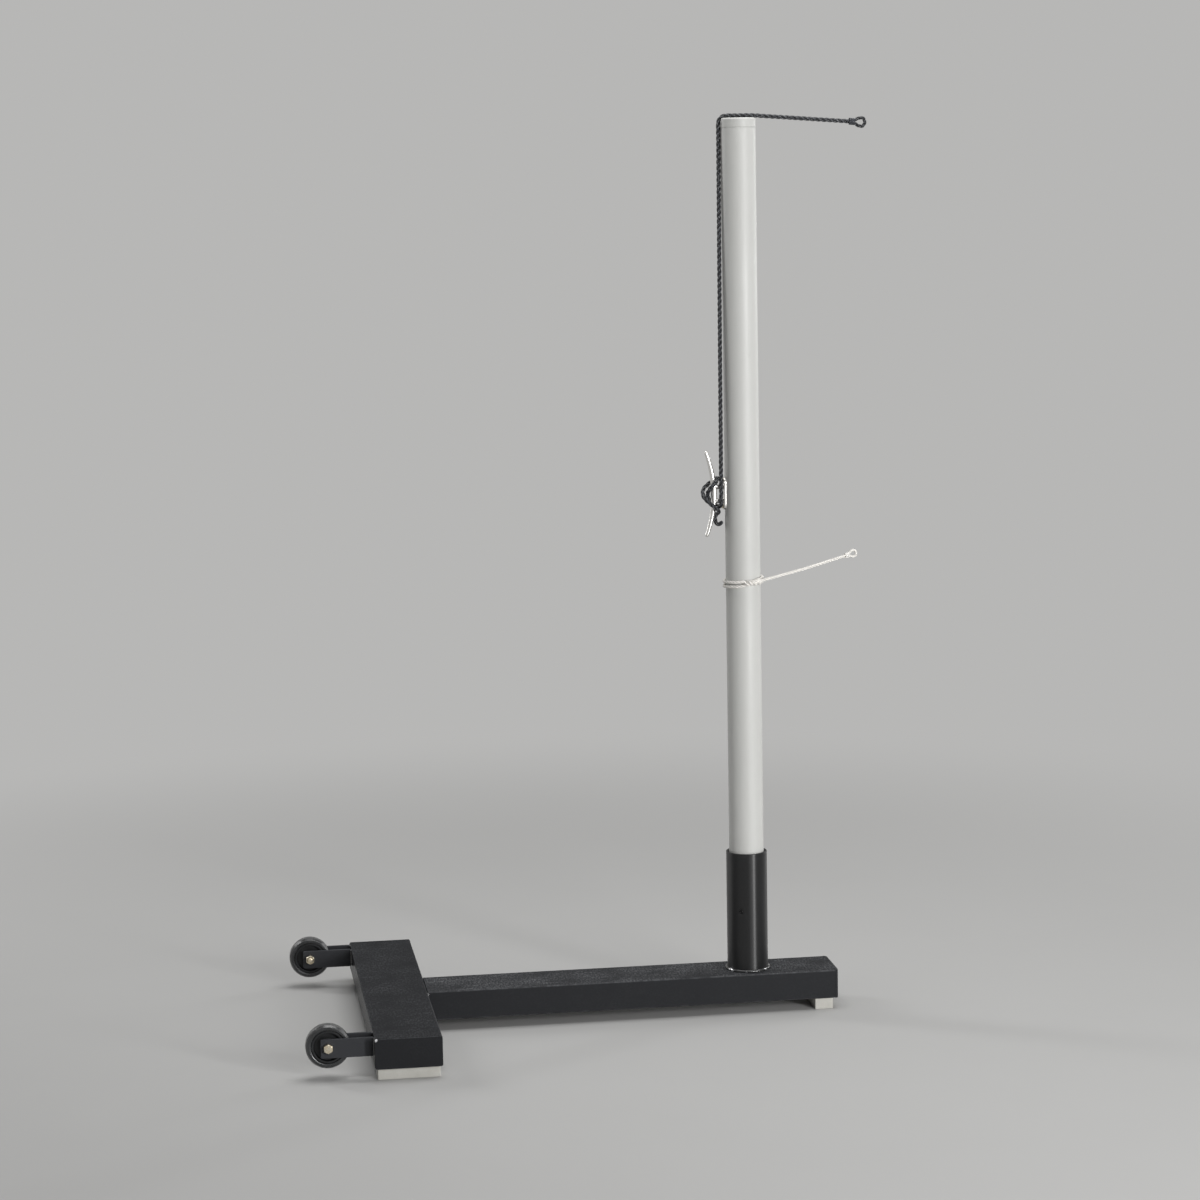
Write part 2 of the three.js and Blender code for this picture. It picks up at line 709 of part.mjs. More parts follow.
// The turns on the cleat. The angle runs through half a turn from one end of the cleat to
// the other while the rope goes once round the cleat's own line, so that its strands pass
// behind a horn at each end and cross in front of the middle.
function turnRadiusAt(halfTurns) {
  const stops = [
    firstTurnRadius,
    firstCrossingRadius,
    upperTurnRadius,
    secondCrossingRadius,
    lastTurnRadius,
    lastTurnRadius,
  ];
  const place = Math.max(0, 2 * (halfTurns - 1));
  const index = Math.min(Math.floor(place), stops.length - 2);
  const share = THREE.MathUtils.smoothstep(place - index, 0, 1);
  return stops[index] + (stops[index + 1] - stops[index]) * share;
}

function windingPoint(halfTurns) {
  const angle = Math.PI * halfTurns;
  const reach = THREE.MathUtils.lerp(firstTurnReach, lastTurnReach, (halfTurns - 1) / 2);
  const rise = reach * Math.cos(angle);
  const radius = turnRadiusAt(halfTurns);
  const x = hornLine(rise) + radius * Math.cos(2 * angle);
  return new THREE.Vector3(x, radius * Math.sin(2 * angle), rise);
}

const windingEntry = [
  [-38.85, -11.1, -7.3],
  [-38.88, -11.16, -11],
  [-39, -10.9, -16.2],
  [-39.9, -8.5, -19.8],
  [-41.4, -4.6, -22],
];
const windingTail = [
  [-44.6, 8.6, -36.8],
  [-46.2, 10.6, -42.5],
  [-45.8, 9.4, -48.5],
  [-43, 4.4, -52.8],
  [-39.3, -1.6, -52.2],
  [-36.8, -5.6, -47.2],
];

function leastGapToItself(points, radius) {
  let least = Infinity;
  const lengths = [0];
  for (let i = 1; i < points.length; i += 1) {
    lengths.push(lengths[i - 1] + points[i].distanceTo(points[i - 1]));
  }
  for (let i = 0; i < points.length; i += 1) {
    for (let j = i + 1; j < points.length; j += 1) {
      if (lengths[j] - lengths[i] > Math.PI * 2 * radius) {
        least = Math.min(least, points[i].distanceTo(points[j]) - 2 * radius);
      }
    }
  }
  return least;
}

function addRope(post) {
  addPiece('rope_rise', sweptCord(ropeRise, ropeRadius, 44), blackRope, post);
  addPiece('rope_top', sweptCord(ropeTop, ropeRadius, 60), blackRope, post);
  const stepsPerHalfTurn = 24;
  const points = windingEntry.map((point) => new THREE.Vector3(...point));
  for (let i = 1; i <= 2 * stepsPerHalfTurn; i += 3) {
    points.push(windingPoint(1 + i / stepsPerHalfTurn));
  }
  points.push(...windingTail.map((point) => new THREE.Vector3(...point)));
  const curve = new THREE.CatmullRomCurve3(points);
  const centres = curve.getSpacedPoints(72);
  const winding = tubeThrough(centres, centres.map(() => ropeRadius), 6);
  addPiece('rope_winding', winding, blackRope, post).position.z = cleatHeight;
  const fine = curve.getSpacedPoints(600);
  const gap = leastGapToItself(fine, ropeRadius).toFixed(2);
  console.log(`rope winding: ${curve.getLength().toFixed(0)} mm long, least gap to itself ${gap} mm`);
}

// A knot and a small eye that end a cord, along +X, in sizes that follow the cord's radius
function cordEye(radius) {
  const knotShares = [[0, 1.1], [0.8, 1.6], [2.6, 1.7], [3.6, 1.3]];
  const knot = tubeThrough(
    knotShares.map(([along]) => new THREE.Vector3(along * radius, 0, 0)),
    knotShares.map(([, across]) => across * radius),
    8,
  );
  const upperShares = [[3, 0.5], [4.4, 1.6], [6, 2.1], [7.6, 1.7]];
  const lowerShares = upperShares.map(([along, up]) => [along, -up]).reverse();
  const loopShares = [...upperShares, [8.3, 0], ...lowerShares];
  const loop = loopShares.map(([along, up]) => new THREE.Vector3(along * radius, 0, up * radius));
  const centres = new THREE.CatmullRomCurve3(loop).getSpacedPoints(18);
  return carve(knot, { joins: [tubeThrough(centres, centres.map(() => radius), 6)] });
}

function addRopeEye(post) {
  const [before, last] = ropeTop.slice(-2).map((point) => new THREE.Vector3(...point));
  const direction = new THREE.Vector3().subVectors(last, before).normalize();
  const eye = addPiece('rope_eye', cordEye(ropeRadius), blackRope, post);
  eye.position.copy(last).addScaledVector(direction, seatGap);
  eye.quaternion.setFromUnitVectors(axisX, direction);
}

// A place round the post, its turn measured from the side that faces -Y
function besidePost(radius, turn, height) {
  return new THREE.Vector3(radius * Math.sin(turn), -radius * Math.cos(turn), height);
}

// The light cord's taut run pulls its turns up on that side
function cordHeightAt(turn) {
  return cordTurnsHeight + cordTurnsTilt * Math.sin(turn);
}

// Light cord: each turn starts at the knot, goes left round the back and ends at the knot again
const cordRunEnd = new THREE.Vector3(180, 0, 794);
const cordRunSag = 1.5;

function addTieCord(post) {
  const turnRadius = postRadius + seatGap + cordRadius;
  const clearOfKnot = (knotHalfLength + 2 * seatGap) / turnRadius;
  for (const [name, side] of [['tie_cord_upper_turn', 1], ['tie_cord_lower_turn', -1]]) {
    const points = [];
    const steps = 36;
    for (let i = 0; i <= steps; i += 1) {
      const share = i / steps;
      const opening = Math.sin(Math.PI * share) ** cordTurnsSpreadPower;
      const spread = THREE.MathUtils.lerp(cordTurnsSpreadAtKnot, cordTurnsSpreadOpposite, opening);
      const turn = knotTurn - clearOfKnot - share * (2 * Math.PI - 2 * clearOfKnot);
      points.push(besidePost(turnRadius, turn, cordHeightAt(turn) + (side * spread) / 2));
    }
    addPiece(name, tubeThrough(points, points.map(() => cordRadius), 6), whiteCord, post);
  }
  const knot = addPiece('tie_cord_knot', new THREE.SphereGeometry(1, 14, 10), whiteCord, post);
  knot.geometry.scale(knotHalfLength, knotHalfDepth, knotHalfHeight);
  const knotPlace = besidePost(postRadius + seatGap + knotHalfDepth, knotTurn, cordHeightAt(knotTurn));
  knot.position.copy(knotPlace);
  knot.rotation.z = knotTurn;
  const direction = new THREE.Vector3().subVectors(cordRunEnd, knotPlace).normalize();
  const start = knotPlace.clone().addScaledVector(direction, knotHalfLength + seatGap);
  const middle = start.clone().add(cordRunEnd).multiplyScalar(0.5);
  middle.z -= cordRunSag;
  const run = [start, middle, cordRunEnd].map((point) => point.toArray());
  addPiece('tie_cord_run', sweptCord(run, cordRadius, 16), whiteCord, post);
  const eye = addPiece('tie_cord_eye', cordEye(cordRadius), whiteCord, post);
  eye.position.copy(cordRunEnd).addScaledVector(direction, 2 * seatGap);
  eye.quaternion.setFromUnitVectors(axisX, direction);
}

addCrossbar();
addBeam();
addBallast();
addPads();
addWheel('front', -1);
addWheel('rear', 1);
addSocket();
const post = new THREE.Group();
post.position.x = postX;
part.add(post);
addPostTube(post);
addPostCap(post);
addFootPlug(post);
addCleat(post);
addRope(post);
addRopeEye(post);
addTieCord(post);

export default part;
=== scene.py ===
import bpy
import numpy as np
from mathutils import Matrix, Vector


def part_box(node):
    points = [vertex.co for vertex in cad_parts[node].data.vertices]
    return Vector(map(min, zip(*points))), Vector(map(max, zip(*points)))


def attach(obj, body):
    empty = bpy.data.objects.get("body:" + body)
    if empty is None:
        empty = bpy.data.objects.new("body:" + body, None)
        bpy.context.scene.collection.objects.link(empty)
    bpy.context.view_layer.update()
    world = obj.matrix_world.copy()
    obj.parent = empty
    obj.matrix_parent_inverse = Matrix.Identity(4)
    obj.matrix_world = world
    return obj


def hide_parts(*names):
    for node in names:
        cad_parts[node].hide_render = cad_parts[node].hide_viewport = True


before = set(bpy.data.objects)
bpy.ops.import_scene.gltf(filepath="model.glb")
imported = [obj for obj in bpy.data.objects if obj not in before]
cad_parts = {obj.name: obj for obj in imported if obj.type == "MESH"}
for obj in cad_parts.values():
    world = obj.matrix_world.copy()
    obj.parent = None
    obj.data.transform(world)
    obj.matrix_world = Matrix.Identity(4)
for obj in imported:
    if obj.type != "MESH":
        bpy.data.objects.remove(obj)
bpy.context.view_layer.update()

# Camera. It stands five metres in front of the base and a little to the left, and looks slightly
# down. Its place and angles were fitted to the edges of the base and post in the photograph.
picture_width = 1200
focal_length_in_pixels = 3080.9
camera_place = Vector((-0.6645, -5.2075, 1.4541))
camera_turn = -0.13997
camera_dip = 0.13633
camera_roll = -0.01833

ahead = Vector((
    -np.sin(camera_turn) * np.cos(camera_dip),
    np.cos(camera_turn) * np.cos(camera_dip),
    -np.sin(camera_dip),
))
level_right = Vector((np.cos(camera_turn), np.sin(camera_turn), 0))
level_up = level_right.cross(ahead)
right = level_right * np.cos(camera_roll) + level_up * np.sin(camera_roll)
up = level_up * np.cos(camera_roll) - level_right * np.sin(camera_roll)
lens = bpy.data.cameras.new("camera")
lens.sensor_fit = "HORIZONTAL"
lens.sensor_width = 36
lens.lens = lens.sensor_width * focal_length_in_pixels / picture_width
camera = bpy.data.objects.new("camera", lens)
camera.matrix_world = Matrix((right, up, -ahead)).transposed().to_4x4()
camera.location = camera_place
bpy.context.scene.collection.objects.link(camera)
bpy.context.scene.camera = camera
bpy.context.scene.view_settings.view_transform = "Standard"


# Tension rope. A 7 mm rope of three strands, black and slightly shiny. Its tail hangs from the
# turns on the cleat, and from there it runs taut up the post, over the cap and on to its eye.
rope_radius = 0.0035
rope_crown_radius = 0.0038
rope_lay = 0.030
rope_eye_lay = 0.026
rope_strand_depth = 0.46
rope_sides = 36
strand_count = 3
line_step = 0.0011
post_radius = 0.03015
post_low, post_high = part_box("post_tube")
post_axis = (post_low + post_high) / 2
cleat_low, cleat_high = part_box("cleat")
cleat_height = (cleat_low.z + cleat_high.z) / 2
cleat_stand_off = 0.01945
horn_rise = 0.013
horn_half_length = 0.0714

# Places are measured from the post's axis, with heights above the floor
rope_rise = [
    (-0.03885, -0.01109, 0.904), (-0.03864, -0.01062, 0.930), (-0.03808, -0.00934, 1.000),
    (-0.03727, -0.00752, 1.100), (-0.03647, -0.00569, 1.200), (-0.03566, -0.00387, 1.300),
    (-0.03485, -0.00204, 1.400), (-0.03421, -0.00058, 1.480), (-0.03395, 0, 1.512),
    (-0.03395, 0, 1.533),
]
rope_over_cap = [
    (-0.03395, 0, 1.5399), (-0.03288, 0, 1.54526), (-0.02985, 0, 1.5498), (-0.02531, 0, 1.55283),
    (-0.01995, 0, 1.5539), (-0.008, 0, 1.5539), (0.006, 0, 1.5539), (0.018, 0, 1.5539),
    (0.030, 0, 1.5534), (0.050, 0, 1.5519), (0.090, 0, 1.5489), (0.140, 0, 1.5451),
    (0.192, 0, 1.5412),
]
# The heights of the next two are measured from the cleat's middle
rope_onto_cleat = [
    (-0.03885, -0.0111, -0.0073), (-0.03888, -0.01116, -0.011), (-0.039, -0.0109, -0.0162),
    (-0.0399, -0.0085, -0.0198), (-0.0414, -0.0046, -0.022),
]
rope_tail = [
    (-0.0446, 0.0086, -0.0368), (-0.0462, 0.0106, -0.0425), (-0.0458, 0.0094, -0.0485),
    (-0.043, 0.0044, -0.0528), (-0.0393, -0.0016, -0.0522), (-0.0368, -0.0056, -0.0472),
]
winding_radii = (0.0089, 0.0112, 0.0088, 0.0194, 0.0106, 0.0106)
winding_reach = 0.0215
winding_growth = 0.011


def horn_line(rise):
    """Where the cleat's own line stands: its stand-off plus a parabola towards its tips."""
    return -(post_radius + cleat_stand_off + horn_rise * (rise / horn_half_length) ** 2)


def turns_on_cleat():
    """The angle runs through half a turn from one end of the cleat to the other while the rope
    goes once round the horn line. Its distance from that line eases between set radii, and the
    reach along the horns grows evenly."""
    radii = np.array(winding_radii)
    half_turns = 1 + np.arange(1, 49, 3) / 24
    place = 2 * (half_turns - 1)
    step = np.minimum(np.floor(place), len(radii) - 2).astype(int)
    share = np.clip(place - step, 0, 1)
    ease = share**2 * (3 - 2 * share)
    radius = radii[step] + (radii[step + 1] - radii[step]) * ease
    angle = np.pi * half_turns
    reach = winding_reach + winding_growth * (half_turns - 1) / 2
    rise = reach * np.cos(angle)
    x = horn_line(rise) + radius * np.cos(2 * angle)
    return np.stack([x, radius * np.sin(2 * angle), rise], 1)


def length_along(line):
    """The distance from a line's start to each of its points."""
    return np.concatenate([[0], np.cumsum(np.linalg.norm(np.diff(line, axis=0), axis=1))])


def smooth_line(points, spacing):
    """A curve through the points, read at even distances. Between two points it is the cubic
    whose slopes come from the neighbours, each weighted by the root of its distance."""
    p = np.asarray(points, float)
    p = np.vstack([2 * p[0] - p[1], p, 2 * p[-1] - p[-2]])
    d = np.sqrt(np.linalg.norm(np.diff(p, axis=0), axis=1))[:, None]
    slope = (p[1:-1] - p[:-2]) / d[:-1] - (p[2:] - p[:-2]) / (d[:-1] + d[1:]) + (p[2:] - p[1:-1]) / d[1:]
    t = np.linspace(0, 1, 60, endpoint=False)[None, :, None]
    start, end = p[1:-2, None], p[2:-1, None]
    out, into = (slope[:-1] * d[1:-1])[:, None], (slope[1:] * d[1:-1])[:, None]
    curve = (
        (2 * t**3 - 3 * t**2 + 1) * start + (t**3 - 2 * t**2 + t) * out
        + (3 * t**2 - 2 * t**3) * end + (t**3 - t**2) * into
    )
    curve = np.vstack([curve.reshape(-1, 3), p[-2]])
    walked = length_along(curve)
    even = np.linspace(0, walked[-1], int(np.ceil(walked[-1] / spacing)) + 1)
    return np.stack([np.interp(even, walked, curve[:, axis]) for axis in range(3)], 1)


def sides_along(line):
    """Two directions across a line at each of its points. The first is carried from point to
    point and laid square to the line again, so that it doesn't turn about it."""
    ahead = np.gradient(line, axis=0)
    ahead /= np.linalg.norm(ahead, axis=1)[:, None]
    side = np.cross(ahead[0], (0.3, 0.9, 0.2))
    sides = []
    for direction in ahead:
        side = side - direction * (side @ direction)
        side = side / np.linalg.norm(side)
        sides.append(side)
    sides = np.array(sides)
    return sides, np.cross(ahead, sides)


def steps_round(count):
    """Even angles once round, from 0."""
    return np.arange(count) * 2 * np.pi / count


def rings_round(line, reach, angle, across=None):
    """A ring of points round each point of a line: each stands off by the reach times the cosine
    of its angle to one side, and the reach times the sine to the other."""
    side, other = across or sides_along(line)
    outward = np.cos(angle)[..., None] * side[:, None] + np.sin(angle)[..., None] * other[:, None]
    return line[:, None] + np.asarray(reach)[..., None] * outward


def skin(name, rings, joined=False, around=None, along=None, **shares):
    """A closed mesh over a grid of points. Point k of ring i is rings[i, k], each ring closes on
    itself, and the ends are flat faces, or the last ring meets the first where joined. The UV map
    holds metres: along from ring to ring, around within a ring. Each named share is a value for
    each point that a finish can read."""
    count, sides = rings.shape[:2]
    rows, columns = np.meshgrid(np.arange(count if joined else count - 1), np.arange(sides), indexing="ij")
    corners = [(0, 0), (0, 1), (1, 1), (1, 0)]
    quads = np.stack([((rows + i) % count) * sides + (columns + k) % sides for i, k in corners], -1)
    quads = quads.reshape(-1, 4)
    points = rings.reshape(-1, 3)
    a, b, c, d = (points[quads[:, i]] for i in range(4))
    volume = np.einsum("ij,ij->", a, np.cross(b, c)) + np.einsum("ij,ij->", a, np.cross(c, d))
    ends = [] if joined else [list(range(sides))[::-1], list(range((count - 1) * sides, count * sides))]
    for end in ends:
        p = points[end]
        volume += np.einsum("ij,ij->", np.cross(p[1:-1], p[2:]), np.tile(p[0], (len(p) - 2, 1)))
    if around is None:
        loop = np.vstack([rings[0], rings[:1, 0]])
        around = np.tile(length_along(loop), (count + 1, 1))
    if along is None:
        along = length_along(rings.mean(1) if not joined else rings[:, 0])
    along = np.append(along, along[-1] + (along[-1] - along[-2]))
    grid = np.stack([np.broadcast_to(along[:, None], around.shape), around], -1)
    maps = np.stack([grid[rows + i, columns + k] for i, k in corners], 2).reshape(-1, 4, 2)
    if volume < 0:
        quads, maps, ends = quads[:, ::-1], maps[:, ::-1], [end[::-1] for end in ends]
    mesh = bpy.data.meshes.new(name)
    mesh.from_pydata(points.tolist(), [], quads.tolist() + ends)
    flat = np.zeros((sum(len(end) for end in ends), 2))
    layer = mesh.uv_layers.new(name="metres")
    layer.data.foreach_set("uv", np.vstack([maps.reshape(-1, 2), flat]).astype(np.float32).ravel())
    for share, values in shares.items():
        values = np.broadcast_to(values, (count, sides)).astype(np.float32)
        mesh.attributes.new(share, "FLOAT", "POINT").data.foreach_set("value", values.ravel())
    mesh.shade_smooth()
    piece = bpy.data.objects.new(name, mesh)
    bpy.context.scene.collection.objects.link(piece)
    return piece


def laid_cord(name, line, radius, lay, depth, sides, round_ends=(True, True)):
    """Twisted strands. Round the line the surface stands at c cos(b) + sqrt(r r - c c sin(b) sin(b)),
    where b is the angle from the nearest strand's middle, c how far its middle lies out and r its
    own radius. The whole section turns once in each lay, and the ends are drawn in to a dome."""
    out = radius * depth
    own = radius - out
    walked = length_along(line)
    turn = steps_round(sides)
    b = (turn + np.pi / strand_count) % (2 * np.pi / strand_count) - np.pi / strand_count
    lobe = out * np.cos(b) + np.sqrt(np.maximum(own**2 - (out * np.sin(b)) ** 2, 0))
    from_start = walked if round_ends[0] else np.full_like(walked, radius)
    from_end = walked[-1] - walked if round_ends[1] else np.full_like(walked, radius)
    near = np.clip(np.minimum(from_start, from_end) / radius, 0.02, 1)
    swell = np.sqrt(1 - (1 - near) ** 2)
    angle = turn + (2 * np.pi * walked / lay)[:, None]
    rings = rings_round(line, swell[:, None] * lobe, angle)
    columns = np.arange(sides + 1) * 2 * np.pi / sides
    rows = np.append(walked, walked[-1])
    around = radius * (columns[None, :] + (2 * np.pi * rows / lay)[:, None])
    sunk = (lobe.max() - lobe) / (lobe.max() - lobe.min())
    return skin(name, rings, around=around, along=walked, valley=sunk)


def feed(node, inputs):
    """Fills a node's inputs: another node's output is linked, and any other value is set."""
    for key, value in inputs.items():
        if isinstance(value, bpy.types.NodeSocket):
            node.id_data.links.new(value, node.inputs[key])
        else:
            node.inputs[key].default_value = value


def add_node(tree, kind, inputs, **settings):
    """One shader node: settings are its own properties."""
    added = tree.nodes.new(kind)
    for key, value in settings.items():
        setattr(added, key, value)
    feed(added, inputs)
    return added


def new_finish(name, **inputs):
    """A material whose shader has the given inputs set, and its node tree and shader."""
    made = bpy.data.materials.new(name)
    made.use_nodes = True
    shader = made.node_tree.nodes["Principled BSDF"]
    feed(shader, {key.replace("_", " "): value for key, value in inputs.items()})
    return made, made.node_tree, shader


def own_place(tree):
    """Where a point lies in its piece's own space."""
    return add_node(tree, "ShaderNodeTexCoord", {}).outputs["Object"]


def spread(tree, value, low, high, to_low=0.0, to_high=1.0, **settings):
    """A value carried from the range low to high over to another range, and held inside it."""
    levels = {"Value": value, "From Min": low, "From Max": high, "To Min": to_low, "To Max": to_high}
    return add_node(tree, "ShaderNodeMapRange", levels, **settings).outputs[0]


def patches(tree, scale, low, high, stretch=(1, 1, 1), detail=3.0, place=None):
    """Noise stretched along the axes: 0 below the low level, 1 above the high one. It lies in
    the piece's own space where no place is given."""
    place = own_place(tree) if place is None else place
    laid = add_node(tree, "ShaderNodeMapping", {"Vector": place, "Scale": stretch}).outputs[0]
    noise = add_node(tree, "ShaderNodeTexNoise", {"Vector": laid, "Scale": scale, "Detail": detail})
    return spread(tree, noise.outputs["Fac"], low, high)


def between(tree, share, first, second):
    """A colour from the first to the second by a share. The node's inputs 6 and 7 and its output 2
    are the ones that hold colours."""
    mixed = add_node(tree, "ShaderNodeMix", {"Factor": share}, data_type="RGBA")
    for socket, colour in ((6, first), (7, second)):
        feed(mixed, {socket: colour if isinstance(colour, bpy.types.NodeSocket) else (*colour, 1)})
    return mixed.outputs[2]


def sums(tree, operation, first, second):
    """Arithmetic on two values."""
    return add_node(tree, "ShaderNodeMath", {0: first, 1: second}, operation=operation).outputs[0]


def raise_surface(tree, shader, height, distance, strength):
    """Lets the light see a height, given as 0 to 1 of a distance in metres."""
    inputs = {"Height": height, "Distance": distance, "Strength": strength}
    feed(shader, {"Normal": add_node(tree, "ShaderNodeBump", inputs).outputs[0]})


def fibre_finish(name, dark, light, valley, fibre, roughness, fuzz):
    """Cord finish: fine fibres run along the cord, lighter and darker side by side, and the
    valleys between the strands are darkened as painted shade."""
    made, tree, shader = new_finish(
        name, Roughness=roughness, Sheen_Weight=fuzz, Sheen_Roughness=0.4, Sheen_Tint=(1, 0.97, 0.92, 1)
    )
    sunk = add_node(tree, "ShaderNodeAttribute", {}, attribute_name="valley").outputs["Fac"]
    uv = add_node(tree, "ShaderNodeUVMap", {}, uv_map="metres").outputs[0]
    fine = patches(tree, 1 / fibre, 0.35, 0.65, stretch=(0.08, 1, 1), detail=2, place=uv)
    broad = patches(tree, 0.12 / fibre, 0.3, 0.7, stretch=(0.3, 1, 1), place=uv)
    shade = sums(tree, "MULTIPLY", sums(tree, "ADD", fine, broad), 0.5)
    # Painted shade: deeper into the valleys between strands, the colour goes over to the valley shade
    colour = between(tree, sums(tree, "POWER", sunk, 0.5), between(tree, shade, dark, light), valley)
    feed(shader, {"Base Color": colour})
    raise_surface(tree, shader, fine, 0.00025, 0.7)
    return made


def coat(piece, finish):
    """Gives a piece one finish all over."""
    piece.data.materials.clear()
    piece.data.materials.append(finish)


def dress(piece, finish, body, slot, *nodes):
    """Gives a piece its finish and body, and the CAD nodes that it stands for."""
    coat(piece, finish)
    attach(piece, body)
    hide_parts(*nodes)
    return piece


def from_post(points, height=0.0):
    """Points given from the post's axis, in the frame."""
    return np.asarray(points, float) + (post_axis.x, post_axis.y, height)


# The rope's valley colour is painted shade between its strands
rope_fibre = fibre_finish(
    "black rope", dark=(0.006, 0.0065, 0.0085), light=(0.085, 0.092, 0.108),
    valley=(0.0006, 0.0006, 0.0008), fibre=0.0004, roughness=0.24, fuzz=0.0,
)
rope_route = np.vstack([
    from_post(rope_tail[::-1], cleat_height),
    from_post(turns_on_cleat()[::-1], cleat_height),
    from_post(rope_onto_cleat[::-1], cleat_height),
    from_post(rope_rise),
    from_post(rope_over_cap),
])
rope_line = smooth_line(rope_route, line_step)
rope = laid_cord(
    "rope", rope_line, rope_crown_radius, rope_lay, rope_strand_depth, rope_sides, (True, False)
)
dress(rope, rope_fibre, "post", "black_rope", "rope_winding", "rope_rise", "rope_top")

# Its eye is the rope's own end, turned back and bound with twine. The shares are of its radius.
eye_cord_share = 0.86
eye_sides = 24
twine_share = 0.17
twine_start_share, twine_pitch_share = 0.35, 0.31
twine_turns = 9
twine_sides = 8
legs_depth_share, legs_width_share = 1.08, 1.55
eye_loop_shares = [
    (0, 0), (1.2, 0.55), (2.4, 0.72), (3.4, 0.95), (4.6, 1.6), (6, 2.05), (7.4, 1.75), (8.2, 0),
    (7.4, -1.75), (6, -2.05), (4.6, -1.6), (3.4, -0.95), (2.4, -0.72), (1.2, -0.62), (0.6, -0.6),
]


def bound_eye(name, line, radius, lay, depth):
    """The eye at a line's end. Its cord follows a drop shape in multiples of the cord's radius,
    and the twine is a helix round the two legs, flattened to their oval. Both are laid along X,
    then turned and moved so that X runs on in the direction of the line's last stretch."""
    shares = np.array(eye_loop_shares)
    loop = np.stack([shares[:, 0], 0 * shares[:, 0], shares[:, 1]], 1) * radius
    eye = laid_cord(name, smooth_line(loop, radius / 3), eye_cord_share * radius, lay, depth, eye_sides)
    turns = np.linspace(0, twine_turns, twine_turns * eye_sides + 1)
    angle = 2 * np.pi * turns
    helix = radius * np.stack([
        twine_start_share + twine_pitch_share * turns,
        legs_depth_share * np.sin(angle),
        legs_width_share * np.cos(angle),
    ], 1)
    twine = skin(name + "_twine", rings_round(helix, twine_share * radius, steps_round(twine_sides)))
    turn = Vector((1, 0, 0)).rotation_difference(Vector(line[-1] - line[-12]).normalized())
    for piece in (eye, twine):
        piece.data.transform(Matrix.Translation(Vector(line[-1])) @ turn.to_matrix().to_4x4())
    return eye, twine


rope_eye, rope_twine = bound_eye("rope_end_eye", rope_line, rope_radius, rope_eye_lay, rope_strand_depth)
dress(rope_eye, rope_fibre, "post", "black_rope", "rope_eye")
dress(rope_twine, rope_fibre, "post", "black_rope")

# White cord. A soft cotton cord goes twice round the post; in front the two turns twist about
# each other, and from there its end runs off taut to a small bound eye.
cord_radius = 0.00265
cord_lay = 0.018
cord_strand_depth = 0.36
cord_sides = 24
cord_clearance = 0.0003
cord_turns_height = 0.7564
cord_turns_tilt = 0.0033
cord_spread_at_knot = 0.0058
cord_spread_opposite = 0.0084
knot_turn = np.radians(35)
twist_start = np.radians(4)
twist_lead = np.radians(21)
twist_ease = np.radians(14)
pair_offset = 0.0024
cord_run_end = (0.180, 0, 0.794)
cord_run_sag = 0.0015
knot_cord_radius = 0.0021
knot_lay = 0.015
knot_sides = 20
knot_distance = 0.0045
knot_loop_half_height, knot_loop_half_depth = 0.0044, 0.0026
knot_loop_lean = 0.0036
knot_loop_shift = 0.0001


def round_post(out, turn, height):
    """Points at a distance from the post's axis, their turn measured from the side facing -Y."""
    return from_post(np.stack([out * np.sin(turn), -out * np.cos(turn), height], 1))


def cord_height(turn):
    """The taut run pulls the turns up on its side: their height follows the sine of the turn."""
    return cord_turns_height + cord_turns_tilt * np.sin(turn)


def cord_turn(way):
    """One turn, from the knot leftwards round the back and on to the knot again. Away from the
    knot the turns lie one above the other; near its left they circle a common line, a half turn
    apart, and a smooth step leads from one form to the other."""
    share = np.linspace(0, 1, 420)
    turn = knot_turn - share * 2 * np.pi
    opening = np.sin(np.pi * share) ** 0.8
    apart = cord_spread_at_knot + (cord_spread_opposite - cord_spread_at_knot) * opening
    twisted = np.clip((turn - twist_start) / twist_ease + 1, 0, 1)
    twisted = twisted**2 * (3 - 2 * twisted)
    angle = 2 * np.pi * (turn - twist_start) / twist_lead
    pair_out = twisted * pair_offset * (1 + way * np.sin(angle))
    lift = (1 - twisted) * apart / 2 + twisted * pair_offset * np.cos(angle)
    out = post_radius + cord_clearance + cord_radius + pair_out
    return round_post(out, turn, cord_height(turn) + way * lift)


# The cord's valley colour is painted shade between its strands
cord_fibre = fibre_finish(
    "white cord", dark=(0.90, 0.88, 0.84), light=(0.99, 0.975, 0.945), valley=(0.72, 0.69, 0.64),
    fibre=0.0005, roughness=0.75, fuzz=0.25,
)
for label, way in (("upper", 1), ("lower", -1)):
    route = smooth_line(cord_turn(way)[::4], line_step)
    turn_piece = laid_cord(f"cord_{label}_turn", route, cord_radius, cord_lay, cord_strand_depth, cord_sides)
    dress(turn_piece, cord_fibre, "post", "white_cord", f"tie_cord_{label}_turn")

knot_at = np.array([knot_turn])
knot_place = round_post(np.array([post_radius + knot_distance]), knot_at, cord_height(knot_at))[0]
run_end = from_post([cord_run_end])[0]
run_middle = (knot_place + run_end) / 2 - (0, 0, cord_run_sag)
run_line = smooth_line([knot_place, run_middle, run_end], line_step)
cord_run = laid_cord(
    "cord_run", run_line, cord_radius, cord_lay, cord_strand_depth, cord_sides, (True, False)
)
dress(cord_run, cord_fibre, "post", "white_cord", "tie_cord_run")
cord_eye, cord_twine = bound_eye("cord_end_eye", run_line, cord_radius, cord_lay, cord_strand_depth)
dress(cord_eye, cord_fibre, "post", "white_cord", "tie_cord_eye")
dress(cord_twine, cord_fibre, "post", "white_cord")

